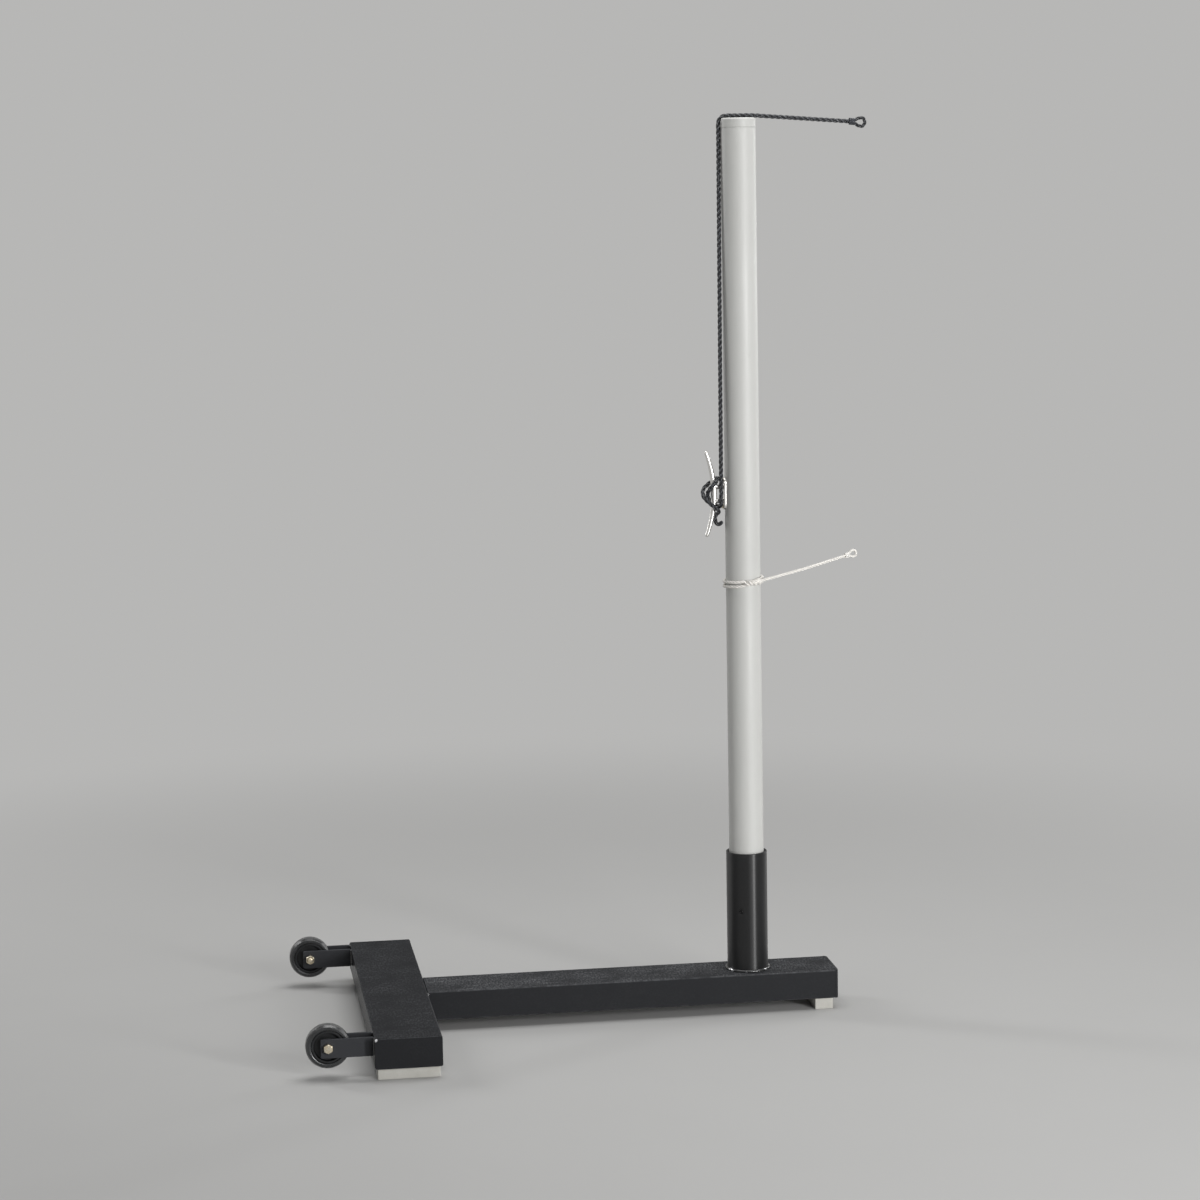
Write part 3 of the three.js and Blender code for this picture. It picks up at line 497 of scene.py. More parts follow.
# The knot is a hitch: two small loops of the cord round the twisted pair
knot_ahead = np.array([np.cos(knot_turn), np.sin(knot_turn), 0])
knot_out = np.array([np.sin(knot_turn), -np.cos(knot_turn), 0])
angle = np.linspace(0, 2 * np.pi, 40)[:, None]
for label, along, lean in (("left", -0.0036, 0.5), ("right", 0.0022, -0.45)):
    across = (along + lean * knot_loop_lean * np.cos(angle)) * knot_ahead
    outward = (knot_loop_shift + knot_loop_half_depth * np.sin(angle)) * knot_out
    upward = knot_loop_half_height * np.cos(angle) * (0, 0, 1)
    line = smooth_line(knot_place + (across + outward + upward), 0.001)
    name = f"cord_knot_{label}_loop"
    loop = laid_cord(name, line, knot_cord_radius, knot_lay, cord_strand_depth, knot_sides)
    dress(loop, cord_fibre, "post", "white_cord", "tie_cord_knot")

# Studio. A pale floor that fades into an equally pale surround. A tall soft lamp stands in front
# to the right with a broad fill lamp behind it, another broad one hangs above, and two narrow
# lamps behind the post draw light along its edges.
floor_shade = (0.56, 0.558, 0.549)
surround_shade = (0.475, 0.473, 0.466)
fade_start, fade_end = 0.7, 2.8
surround_light = 0.12


def seen_directly(tree):
    """1 for what the camera or a mirror sees, and 0 for all other light."""
    rays = add_node(tree, "ShaderNodeLightPath", {})
    return sums(tree, "MAXIMUM", rays.outputs["Is Camera Ray"], rays.outputs["Is Glossy Ray"])


floor_mesh = bpy.data.meshes.new("floor")
floor_mesh.from_pydata([(-14, -14, 0), (14, -14, 0), (14, 14, 0), (-14, 14, 0)], [], [(0, 1, 2, 3)])
floor = bpy.data.objects.new("floor", floor_mesh)
bpy.context.scene.collection.objects.link(floor)
floor_finish, tree, shader = new_finish("floor", Roughness=0.7, Specular_IOR_Level=0.15)
grain = patches(tree, 3, 0.3, 0.7)
feed(shader, {"Base Color": between(tree, grain, floor_shade, [0.985 * c for c in floor_shade])})
distance = add_node(tree, "ShaderNodeVectorMath", {0: own_place(tree)}, operation="LENGTH")
fade = spread(tree, distance.outputs["Value"], fade_start, fade_end, interpolation_type="SMOOTHSTEP")
surround = add_node(tree, "ShaderNodeEmission", {"Color": (*surround_shade, 1), "Strength": 1})
mixed = add_node(tree, "ShaderNodeMixShader", {
    0: sums(tree, "MULTIPLY", fade, seen_directly(tree)), 1: shader.outputs[0], 2: surround.outputs[0]
})
feed(tree.nodes["Material Output"], {0: mixed.outputs[0]})
floor.data.materials.append(floor_finish)

world = bpy.data.worlds.new("surround")
world.use_nodes = True
bpy.context.scene.world = world
tree = world.node_tree
shown = add_node(tree, "ShaderNodeBackground", {"Color": (*surround_shade, 1), "Strength": 1})
lighting = tree.nodes["Background"]
feed(lighting, {"Color": (1, 1, 1, 1), "Strength": surround_light})
mixed = add_node(tree, "ShaderNodeMixShader", {
    0: seen_directly(tree), 1: lighting.outputs[0], 2: shown.outputs[0]
})
feed(tree.nodes["World Output"], {0: mixed.outputs[0]})

lamps = [
    ("front lamp", (2.1, -3.0, 0.72), (0.3, 0, 0.6), (0.45, 1.4), 70),
    ("fill lamp", (1.7, -4.5, 2.0), (0.3, 0, 0.7), (1.6, 1.4), 46),
    ("top lamp", (0.35, 0.1, 3.0), (0.35, 0, 0), (2.4, 1.5), 45),
    ("left edge lamp", (-2.0, 1.45, 1.7), (0.4, 0, 0.9), (0.35, 1.4), 15),
    ("right edge lamp", (2.9, 1.8, 1.5), (0.4, 0, 0.8), (0.3, 1.8), 14),
]
for name, where, towards, size, power in lamps:
    lamp = bpy.data.lights.new(name, "AREA")
    lamp.shape = "RECTANGLE"
    lamp.size, lamp.size_y = size
    lamp.energy = power
    holder = bpy.data.objects.new(name, lamp)
    holder.location = where
    holder.rotation_euler = (Vector(towards) - Vector(where)).to_track_quat("-Z", "Y").to_euler()
    holder.visible_camera = False
    bpy.context.scene.collection.objects.link(holder)

# Crossbar. A piece of wide steel box section with rounded edges, closed by two flat plates that
# are welded in. The welds are ground down, and all of it has black powder paint.
section_corner = 0.003
section_edge = 0.0006
plate_edge = 0.0009
base_look = {"tone": 0.024, "dust": 0.36}
dust_shade = (0.200, 0.205, 0.214)
# Rubbed roundings turn this lighter grey, which also stands as a painted highlight along the edges
rubbed_and_highlight_shade = (0.28, 0.285, 0.30)
bare_steel_shade = (0.80, 0.80, 0.82)


def rounded_outline(width, height, radius, steps=6):
    """A rectangle with round corners, counter-clockwise: a quarter circle for each corner."""
    angle = np.linspace(0, np.pi / 2, steps + 1)
    corners = []
    for number, (x, y) in enumerate([(1, 1), (-1, 1), (-1, -1), (1, -1)]):
        swept = angle + number * np.pi / 2
        corner_x = x * (width / 2 - radius) + radius * np.cos(swept)
        corner_y = y * (height / 2 - radius) + radius * np.sin(swept)
        corners.append(np.stack([corner_x, corner_y], 1))
    return np.vstack(corners)


def rounded_ends(start, end, edge):
    """Places along an axis from start to end, and how far an outline is drawn in at each of them,
    so that both edges are quarter circles."""
    angle = np.linspace(0, np.pi / 2, 5)
    step, drawn = edge * (1 - np.cos(angle)), edge * (1 - np.sin(angle))
    return np.concatenate([start + step, end - step[::-1]]), np.concatenate([drawn, drawn[::-1]])


def even_shading(piece):
    """Large flat faces keep their own direction, and only the rounded edges shade smoothly."""
    piece.modifiers.new("shading", "WEIGHTED_NORMAL").keep_sharp = True
    return piece


def rounded_block(name, low, high, axis, corner, edge):
    """A block between two corners: its outline, with round corners, is carried along one axis,
    and both ends are drawn in along a quarter circle so that their edges are round too. Its share
    called edge is half a sine wave over each rounding, and 0 on the flats."""
    size, middle = np.array(high) - np.array(low), (np.array(high) + np.array(low)) / 2
    others = [(axis + 1) % 3, (axis + 2) % 3]
    outline = rounded_outline(*size[others], corner)
    half = np.abs(outline).max(0)
    along, drawn = rounded_ends(-size[axis] / 2, size[axis] / 2, edge)
    rings = np.zeros((len(along), len(outline), 3))
    rings[..., others] = outline * (half - drawn[:, None, None]) / half
    rings[..., axis] = along[:, None]
    at_ends = np.tile(np.sin(np.linspace(0, np.pi, len(along) // 2)), 2)
    at_corners = np.tile(np.sin(np.linspace(0, np.pi, len(outline) // 4)), 4)
    edges = np.maximum(at_ends[:, None], at_corners)
    edges[[0, -1]] = 0
    return even_shading(skin(name, rings + middle, edge=edges))


def scaled(tree, value, times, plus):
    """A value times a number, plus another."""
    return sums(tree, "ADD", sums(tree, "MULTIPLY", value, times), plus)


def powder_paint(name, tone, dust, roughness=0.26, gloss=0.03, grain=0.5):
    """Black powder paint: a fine orange-peel skin, as rough as given on upright faces. Dust and
    rubbed patches gather on what faces up, in broad clouds, fine specks and thin scuffs, and make
    it lighter and duller there. The roundings, where the share called edge is high, are rubbed
    lighter here and there, and this lighter colour also serves as a painted highlight on the edges."""
    made, tree, shader = new_finish(name, Specular_IOR_Level=gloss)
    normal = add_node(tree, "ShaderNodeNewGeometry", {}).outputs["Normal"]
    upward = spread(tree, add_node(tree, "ShaderNodeSeparateXYZ", {0: normal}).outputs[2], 0.3, 0.95)
    clouds = patches(tree, 17, 0.24, 0.78, detail=8)
    specks = patches(tree, 330, 0.42, 0.68, stretch=(1, 0.32, 1), detail=6)
    scuffs = patches(tree, 55, 0.56, 0.70, stretch=(0.4, 1.4, 1), detail=7)
    worn = patches(tree, 75, 0.40, 0.66, detail=5)
    edge = add_node(tree, "ShaderNodeAttribute", {}, attribute_name="edge").outputs["Fac"]
    rubbed = scaled(tree, clouds, 0.7, sums(tree, "MULTIPLY", scuffs, 0.3))
    grime = sums(tree, "MULTIPLY", rubbed, scaled(tree, specks, 0.9, 0.1))
    share = sums(tree, "MULTIPLY", grime, scaled(tree, upward, dust, 0.05))
    colour = between(tree, share, (tone, 1.03 * tone, 1.12 * tone), dust_shade)
    # Wear and painted highlight: the roundings turn lighter here and there
    bare = sums(tree, "MULTIPLY", edge, scaled(tree, worn, 0.14, 0.03))
    dulled = scaled(tree, upward, min(0.4, 1.3 * dust), sums(tree, "MULTIPLY", share, 0.3))
    feed(shader, {
        "Base Color": between(tree, bare, colour, rubbed_and_highlight_shade),
        "Roughness": sums(tree, "ADD", dulled, roughness),
    })
    raise_surface(tree, shader, patches(tree, 560, 0.2, 0.8), 0.0002, grain)
    return made


base_paint = powder_paint("black powder paint", **base_look)
low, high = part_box("crossbar_tube")
crossbar = rounded_block("crossbar", low, high, 1, section_corner, section_edge)
dress(crossbar, base_paint, "base", "base_paint", "crossbar_tube")


def show_bare_steel(finish, share):
    """Lets bright bare steel show through a paint by a share."""
    shader = finish.node_tree.nodes["Principled BSDF"]
    painted = shader.inputs["Base Color"].links[0].from_socket
    mixed = between(finish.node_tree, share, painted, bare_steel_shade)
    feed(shader, {"Base Color": mixed, "Metallic": share})


# The front plate's upper corner, beside the wheel's arm, is knocked bare
low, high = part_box("crossbar_front_plate")
knocked_corner, knocked_radius = (low.x + 0.0015, low.y, high.z - 0.001), 0.0034
knocked_paint = powder_paint("black powder paint, knocked corner", **base_look)
tree = knocked_paint.node_tree
away = add_node(tree, "ShaderNodeVectorMath", {0: own_place(tree), 1: knocked_corner}, operation="DISTANCE")
share = spread(tree, away.outputs["Value"], knocked_radius, 0.75 * knocked_radius)
show_bare_steel(knocked_paint, share)
for end, end_paint in (("front", knocked_paint), ("rear", base_paint)):
    low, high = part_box(f"crossbar_{end}_plate")
    plate = rounded_block(f"crossbar_{end}_end", low, high, 1, section_corner, plate_edge)
    dress(plate, end_paint, "base", "base_paint", f"crossbar_{end}_plate")

# Beam. A narrower box section of the same height, butted against the crossbar's side. Its free
# end is closed by a plate whose upright edges are ground round.
beam_end_corner = 0.006
beam_end_edge = 0.0022
low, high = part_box("beam_tube")
beam = rounded_block("beam", low, high, 0, section_corner, section_edge)
beam_paint = powder_paint("black powder paint, dusty", tone=0.028, dust=1.25, roughness=0.30, gloss=0.06)
dress(beam, beam_paint, "base", "base_paint", "beam_tube")


def beam_end(name, low, high, corner, edge):
    """The end plate: its outline, seen from above, is a straight back and two quarter ellipses at
    the front, carried upwards. Top and bottom edges are drawn in along a quarter circle."""
    thickness, half = high.x - low.x, (high.y - low.y) / 2
    angle = np.linspace(0, np.pi / 2, 9)
    bend = np.stack([thickness * np.cos(angle), half - corner + corner * np.sin(angle)], 1)
    up, drawn = rounded_ends(0, high.z - low.z, edge)
    flat = np.vstack([bend, bend[::-1] * (1, -1)]) * (1 - drawn[:, None, None] / half)
    rings = np.concatenate([flat, np.broadcast_to(up[:, None, None], (*flat.shape[:2], 1))], 2)
    return even_shading(skin(name, rings + (low.x, (low.y + high.y) / 2, low.z)))


low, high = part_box("beam_end_plate")
beam_cap = beam_end("beam_end", low, high, beam_end_corner, beam_end_edge)
dress(beam_cap, beam_paint, "base", "base_paint", "beam_end_plate")


# Welds. Ground beads join the end plates to their sections, and round ones run up both corners
# between beam and crossbar. They are painted with the base.
weld_look = {"tone": 0.016, "dust": 0.1, "roughness": 0.17, "gloss": 0.9, "grain": 0.2}
beam_weld_radius = 0.0032
beam_weld_stop = 0.0015
weld_start = 0.002
seam_radius = 0.0010
seam_pitch = 0.004
seam_step = 0.0012


def bead(name, line, radius, joined=False, pitch=0.0028, sides=14):
    """A round bead along a line whose radius swells and sinks by a seventh with each pool of
    weld metal, a pitch long, and wanders slowly by a tenth."""
    walked = length_along(line)
    ripple = np.abs(np.sin(np.pi * walked / pitch)) ** 0.6
    wander = np.sin(walked * 260) * np.sin(walked * 97 + 1)
    swell = radius * (0.86 + 0.14 * ripple + 0.10 * wander)
    if not joined:
        near = np.clip(np.minimum(walked, walked[-1] - walked) / radius, 0.03, 1)
        swell = swell * np.sqrt(1 - (1 - near) ** 2)
    return skin(name, rings_round(line, swell[:, None], steps_round(sides)), joined)


weld_paint = powder_paint("black powder paint on weld", **weld_look)


def corner_bead(name, x, y, bottom, top, radius):
    """A painted bead up a corner of the base, whose line has a point every half millimetre."""
    height = bottom + (top - bottom) * np.linspace(0, 1, int((top - bottom) / 0.0005) + 1)
    line = np.stack([np.full_like(height, x), np.full_like(height, y), height], 1)
    dress(bead(name, line, radius), weld_paint, "base", "base_paint")


def ground_seam(name, middle, across, height, at, axis):
    """The bead that joins an end plate to its section, ground down until a quarter of it
    stands proud: it follows the section's rounded outline, read at even distances."""
    loop = rounded_outline(across - seam_radius, height - seam_radius, section_corner)
    loop = np.vstack([loop, loop[:1]])
    walked = length_along(loop)
    even = np.linspace(0, walked[-1], int(walked[-1] / seam_step), endpoint=False)
    line = np.zeros((len(even), 3))
    line[:, axis] = at
    line[:, 1 - axis] = middle[1 - axis] + np.interp(even, walked, loop[:, 0])
    line[:, 2] = middle[2] + np.interp(even, walked, loop[:, 1])
    return bead(name, line, seam_radius, joined=True, pitch=seam_pitch, sides=10)


for end in ("front", "rear"):
    low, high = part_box(f"crossbar_{end}_plate")
    joint = high.y if end == "front" else low.y
    seam = ground_seam(f"crossbar_{end}_seam", (low + high) / 2, high.x - low.x, high.z - low.z, joint, 1)
    dress(seam, base_paint, "base", "base_paint")
low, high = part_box("beam_end_plate")
seam = ground_seam("beam_end_seam", (low + high) / 2, high.y - low.y, high.z - low.z, low.x, 0)
dress(seam, beam_paint, "base", "base_paint")

crossbar_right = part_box("crossbar_tube")[1].x
beam_low, beam_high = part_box("beam_tube")
for label, y in (("front", beam_low.y), ("rear", beam_high.y)):
    bottom, top = beam_low.z + weld_start, beam_high.z - beam_weld_stop
    corner_bead(f"beam_{label}_weld", crossbar_right, y, bottom, top, beam_weld_radius)

# Wheel arms. Two flat bars hold each wheel between them. Each is sawn off square, welded to the
# crossbar's side and drilled for the axle bolt.
crossbar_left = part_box("crossbar_tube")[0].x
arm_corner = 0.0025
arm_edge = 0.0007
arm_weld_radius = 0.0024
arm_weld_stop = 0.001
axle_hole_radius = 0.0052
drill_overrun = 0.001


def placed(piece, centre, direction):
    """Turns a piece made along Z to a direction and moves it to its place, in its mesh."""
    turn = Vector((0, 0, 1)).rotation_difference(Vector(direction)).to_matrix().to_4x4()
    piece.data.transform(Matrix.Translation(Vector(centre)) @ turn)
    return piece


def round_z(radius, height, sides):
    """Points all round the Z axis: for each radius and height, the radius times the cosine and
    the sine of even angles, at that height."""
    angle = steps_round(sides)
    return np.stack(np.broadcast_arrays(radius * np.cos(angle), radius * np.sin(angle), height), -1)


def settle(piece):
    """Applies a piece's modifiers to its mesh."""
    bpy.context.view_layer.update()
    shaped = piece.evaluated_get(bpy.context.evaluated_depsgraph_get())
    made = bpy.data.meshes.new_from_object(shaped)
    piece.modifiers.clear()
    piece.data = made


def cut_round_hole(piece, start, direction, radius, length):
    """Cuts a round hole from a start along a direction, and applies the cut."""
    drill = placed(skin("drill", round_z(radius, np.array([[0.0], [length]]), 48)), start, direction)
    cut = piece.modifiers.new("hole", "BOOLEAN")
    cut.object = drill
    cut.solver = "EXACT"
    settle(piece)
    bpy.data.objects.remove(drill)


# Painted light: the arms' black is made lighter than the base's, standing for the stronger light on their
# faces
arm_paint_with_painted_light = powder_paint("black powder paint, lightened as painted light", tone=0.050, dust=0.3, roughness=0.30)
for wheel in ("front", "rear"):
    bolt_low, bolt_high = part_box(f"{wheel}_axle_bolt")
    axle_x, axle_z = (bolt_low.x + bolt_high.x) / 2, (bolt_low.z + bolt_high.z) / 2
    for side in ("front", "rear"):
        node = f"{wheel}_wheel_{side}_arm"
        low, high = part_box(node)
        arm = rounded_block(f"{wheel}_wheel_{side}_bar", low, high, 1, arm_corner, arm_edge)
        before = Vector((axle_x, low.y - drill_overrun, axle_z))
        cut_round_hole(arm, before, (0, 1, 0), axle_hole_radius, high.y - low.y + 2 * drill_overrun)
        dress(even_shading(arm), arm_paint_with_painted_light, "base", "base_paint", node)
        y = low.y if side == "front" else high.y
        weld = f"{wheel}_wheel_{side}_bar_weld"
        corner_bead(weld, crossbar_left, y, low.z + weld_start, high.z - arm_weld_stop, arm_weld_radius)

# Wheels. A hard rubber tyre with bevelled shoulders on a moulded plastic core with a recessed
# web. The core turns on a plated bush that the axle bolt clamps between the arms.
wheel_edge = 0.0008
tread_half = 0.0065
tyre_thickness = 0.009
shoulder_drop = 0.003
face_inset = 0.0012
core_bore = 0.00665
core_wall = 0.0038
core_seat_gap = 0.0003
hub_radius = 0.012
web_half = 0.0045
bush_bore, bush_radius = 0.00505, 0.00635
bush_edge = 0.0003


def turned(name, profile, centre, direction, sides=96):
    """A profile of [radius, distance along the axis] points that closes on itself, carried round
    an axis through the centre."""
    profile = np.array(profile, float)
    ring = round_z(profile[:, :1], profile[:, 1:], sides).swapaxes(0, 1)
    spin = np.array(Vector((0, 0, 1)).rotation_difference(Vector(direction)).to_matrix())
    return skin(name, ring @ spin.T + np.array(centre), joined=True)


def soften(corners, radius, steps=4):
    """A closed outline whose corners are round: each is replaced by a curve from a radius before
    it to a radius after it, two straight lines blended by their distance from the corner."""
    corners = np.array(corners, float)
    before, after = np.roll(corners, 1, 0) - corners, np.roll(corners, -1, 0) - corners
    reach_before = np.minimum(radius / np.linalg.norm(before, axis=1), 0.45)[:, None, None]
    reach_after = np.minimum(radius / np.linalg.norm(after, axis=1), 0.45)[:, None, None]
    t = np.linspace(0, 1, steps + 1)[None, :, None]
    bent = before[:, None] * reach_before * (1 - t) ** 2
    return (corners[:, None] + bent + after[:, None] * reach_after * t**2).reshape(-1, 2)


def rubber_finish(name, colour, worn, roughness, gloss=0.4):
    """Moulded rubber or plastic: faint mottling, and a paler bloom where it is worn."""
    made, tree, shader = new_finish(name, Specular_IOR_Level=gloss)
    grains = patches(tree, 900, 0.3, 0.7, detail=2)
    cloud = patches(tree, 45, 0.35, 0.7, detail=6)
    share = sums(tree, "MULTIPLY", cloud, scaled(tree, grains, 0.5, 0.5))
    dull = spread(tree, share, 0, 1, roughness, roughness + 0.2)
    feed(shader, {"Base Color": between(tree, share, colour, worn), "Roughness": dull})
    raise_surface(tree, shader, grains, 0.00006, 0.5)
    return made


def plated_finish(name, colour, tarnish, roughness):
    """Zinc plating: bright metal with cloudy, slightly yellow patches and fine turning marks."""
    made, tree, shader = new_finish(name, Metallic=1.0)
    cloud = patches(tree, 160, 0.35, 0.7, detail=5)
    dull = spread(tree, cloud, 0, 1, roughness, roughness + 0.22)
    feed(shader, {"Base Color": between(tree, cloud, colour, tarnish), "Roughness": dull})
    raise_surface(tree, shader, patches(tree, 2600, 0.3, 0.7), 0.00003, 0.4)
    return made


tyre_rubber = rubber_finish(
    "tyre rubber", colour=(0.010, 0.011, 0.0125), worn=(0.030, 0.032, 0.034), roughness=0.2, gloss=0.8
)
# Painted shade: the core's black plastic is darkened further to stand for the shade in its recessed web
core_plastic_with_painted_shade = rubber_finish(
    "wheel plastic, darkened as painted shade", colour=(0.006, 0.0065, 0.007), worn=(0.018, 0.019, 0.021), roughness=0.4
)
zinc = plated_finish(
    "zinc plate", colour=(0.86, 0.80, 0.66), tarnish=(0.62, 0.52, 0.36), roughness=0.22
)
for wheel, outward in (("front", -1), ("rear", 1)):
    low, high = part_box(f"{wheel}_wheel_tyre")
    centre = (low + high) / 2
    radius, half = (high.z - low.z) / 2, (high.y - low.y) / 2
    rim, shoulder, face = radius - tyre_thickness, radius - shoulder_drop, half - face_inset
    rim_inner, seat = rim - core_wall, rim - core_seat_gap
    bush_low, bush_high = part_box(f"{wheel}_wheel_bush")
    bush_half = (bush_high.y - bush_low.y) / 2
    tyre_outline = [
        (rim, -face), (rim + 0.002, -half), (shoulder, -half), (radius, -tread_half),
        (radius, tread_half), (shoulder, half), (rim + 0.002, half), (rim, face),
    ]
    core_outline = [
        (core_bore, -half), (hub_radius - 0.0006, -half), (hub_radius + 0.0008, -web_half),
        (rim_inner - 0.001, -web_half), (rim_inner, -face), (seat, -face), (seat, face), (rim_inner, face),
        (rim_inner - 0.001, web_half), (hub_radius + 0.0008, web_half), (hub_radius - 0.0006, half),
        (core_bore, half),
    ]
    bush_outline = [
        (bush_bore, -bush_half), (bush_radius, -bush_half), (bush_radius, bush_half), (bush_bore, bush_half),
    ]
    for part, outline, edge, sides, finish, body, slot in (
        ("tyre", tyre_outline, wheel_edge, 96, tyre_rubber, f"{wheel}_wheel", "wheel_rubber"),
        ("core", core_outline, wheel_edge, 96, core_plastic_with_painted_shade, f"{wheel}_wheel", "wheel_plastic"),
        ("bush", bush_outline, bush_edge, 48, zinc, "base", "zinc_steel"),
    ):
        piece = turned(f"{wheel}_{part}", soften(outline, edge), centre, (0, outward, 0), sides)
        dress(even_shading(piece), finish, body, slot, f"{wheel}_wheel_{part}")

# Axle bolts and lock nuts. Zinc-plated hex bolts go in from the outside of the base, and each
# nut shows a few turns of thread behind it.
across_flats = 0.0143
bolt_radius = 0.00475
thread_pitch = 0.00125
thread_depth = 0.0007
thread_length = 0.004
thread_chamfer = 0.0012
head_height = 0.006
head_face_share = 0.94


def hex_rings(start, end, top_chamfer, bottom_chamfer, hole, sides=144):
    """Rings of a hex head or nut along Z. The hexagon stands off by the half width over the cosine
    of the angle from the nearest flat's middle, and the corners of each end are cut back by a 30
    degree cone that starts just inside the flats."""
    edge = across_flats / 2 / np.cos((steps_round(sides) + np.pi / 6) % (np.pi / 3) - np.pi / 6)
    flat = np.full(sides, across_flats / 2 * head_face_share)
    drop = (edge - flat) * np.tan(np.pi / 6)
    inner, bottom, top = np.full(sides, hole), np.full(sides, start), np.full(sides, end)
    heights = [bottom, bottom, start + drop * bottom_chamfer, end - drop * top_chamfer, top, top]
    return round_z(np.array([inner, flat, edge, edge, flat, inner]), np.array(heights), sides)


def threaded_rings(start, end, radius, sides=48):
    """A threaded stud along Z: the radius sinks and rises by a V for each pitch, and the V climbs
    by one pitch a turn. It ends in a short chamfer."""
    z = np.linspace(start, end, int((end - start) / thread_pitch * 10) + 2)[:, None]
    groove = np.abs((z / thread_pitch - steps_round(sides) / (2 * np.pi)) % 1 - 0.5) * 2
    chamfer = np.clip((end - z) / thread_chamfer, 0, 1)
    return round_z((radius - thread_depth * groove) * (0.8 + 0.2 * chamfer), z, sides)


for wheel, outward in (("front", -1), ("rear", 1)):
    low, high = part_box(f"{wheel}_axle_bolt")
    nut_low, nut_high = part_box(f"{wheel}_lock_nut")
    centre = Vector(((low.x + high.x) / 2, 0, (low.z + high.z) / 2))
    tail, tip = sorted((outward * low.y, outward * high.y))
    nut_start, nut_end = sorted((outward * nut_low.y, outward * nut_high.y))
    head_seat, thread_start = tip - head_height, tail + thread_length
    shank_rings = round_z(bolt_radius, np.linspace(thread_start, head_seat + 0.001, 8)[:, None], 48)
    nut_rings = hex_rings(nut_start, nut_end, 0, 1, bolt_radius + 0.0001)
    head = even_shading(skin(f"{wheel}_bolt_head", hex_rings(head_seat, tip, 1, 0, 0.0004)))
    thread = skin(f"{wheel}_bolt_thread", threaded_rings(-thread_start, -tail, bolt_radius))
    shank = skin(f"{wheel}_bolt_shank", shank_rings)
    nut = even_shading(skin(f"{wheel}_nut", nut_rings, joined=True))
    for piece, way, node in (
        (head, outward, "axle_bolt"), (shank, outward, "axle_bolt"),
        (thread, -outward, "axle_bolt"), (nut, outward, "lock_nut"),
    ):
        dress(placed(piece, centre, (0, way, 0)), zinc, "base", "zinc_steel", f"{wheel}_{node}")

# Pads. Three blocks of pale, hard rubber keep the steel off the court. Screws in deep recesses
# hold them from below.
pad_corner = 0.0015
pad_edge = 0.0006
recess_radius = 0.006
recess_depth = 0.009
pad_head_radius = 0.0045
pad_head_height = 0.003
pad_shank_radius = 0.0024
screw_hole_gap = 0.0003
screw_hole_depth = 0.03


def pad_finish(name):
    """Pale rubber, greyer where it has picked up dirt, with fine pits."""
    made, tree, shader = new_finish(name, Specular_IOR_Level=0.25, Roughness=0.8)
    pits = patches(tree, 900, 0.56, 0.80)
    colour = between(tree, patches(tree, 60, 0.3, 0.75, detail=7), (0.57, 0.56, 0.52), (0.51, 0.50, 0.46))
    feed(shader, {"Base Color": between(tree, pits, colour, (0.43, 0.42, 0.385))})
    raise_surface(tree, shader, pits, 0.0001, 0.5)
    return made


def cross_head(name, radius, height, shank_radius, shank_length, sides=72):
    """A pan head with a cross recess on a plain shank, along Z: rings from the shank's end, up to
    the head's rim and over its top. Points inside the two crossed slots sink by half the height."""
    shares = np.array([
        (1, 0), (1, 0.3), (0.97, 0.55), (0.88, 0.8), (0.75, 0.94), (0.62, 1), (0.52, 1),
        (0.44, 1), (0.36, 1), (0.28, 1), (0.2, 1), (0.12, 1), (0.05, 1),
    ])
    shank = [(0.0002, -shank_length), (shank_radius, -shank_length), (shank_radius, 0)]
    r, z = np.vstack([shank, shares * (radius, height)]).T[:, :, None]
    rings = round_z(r, z, sides)
    x, y = np.abs(rings[..., 0]), np.abs(rings[..., 1])
    slots = (np.minimum(x, y) < 0.13 * radius) & (np.maximum(x, y) < 0.58 * radius)
    rings[..., 2] -= np.where(slots & (z > 0.95 * height), 0.5 * height, 0)
    return skin(name, rings)


pale_rubber = pad_finish("pale pad rubber")
for pad in ("front", "rear", "beam"):
    low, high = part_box(f"{pad}_pad")
    block = rounded_block(f"{pad}_foot_pad", low, high, 2, pad_corner, pad_edge)
    for side in ("left", "right"):
        screw_low, screw_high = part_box(f"{pad}_pad_{side}_screw")
        middle = (screw_low + screw_high) / 2
        below = Vector((middle.x, middle.y, -pad_edge))
        cut_round_hole(block, below, (0, 0, 1), recess_radius, recess_depth + pad_edge)
        cut_round_hole(block, below, (0, 0, 1), pad_shank_radius + screw_hole_gap, screw_hole_depth)
        seat = Vector((middle.x, middle.y, screw_low.z + pad_head_height))
        name, length = f"{pad}_foot_pad_{side}_screw", screw_high.z - seat.z
        screw = cross_head(name, pad_head_radius, pad_head_height, pad_shank_radius, length)
        placed(screw, seat, (0, 0, -1))
        dress(even_shading(screw), zinc, "base", "zinc_steel", f"{pad}_pad_{side}_screw")
    dress(even_shading(block), pale_rubber, "base", "pad_rubber", f"{pad}_pad")

# Weights. Flat bars of hot-rolled steel lie inside the hollow base and weigh it down. Nothing
# shows them, so they are plain bars in the colour of mill scale.
scale_steel, tree, shader = new_finish("rolled steel", Metallic=0.8)
scale = patches(tree, 30, 0.35, 0.7, detail=8)
feed(shader, {
    "Base Color": between(tree, scale, (0.16, 0.16, 0.165), (0.28, 0.25, 0.22)),
    "Roughness": spread(tree, scale, 0, 1, 0.5, 0.85),
})
for bar in ("front", "rear", "beam"):
    coat(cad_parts[f"{bar}_ballast_bar"], scale_steel)

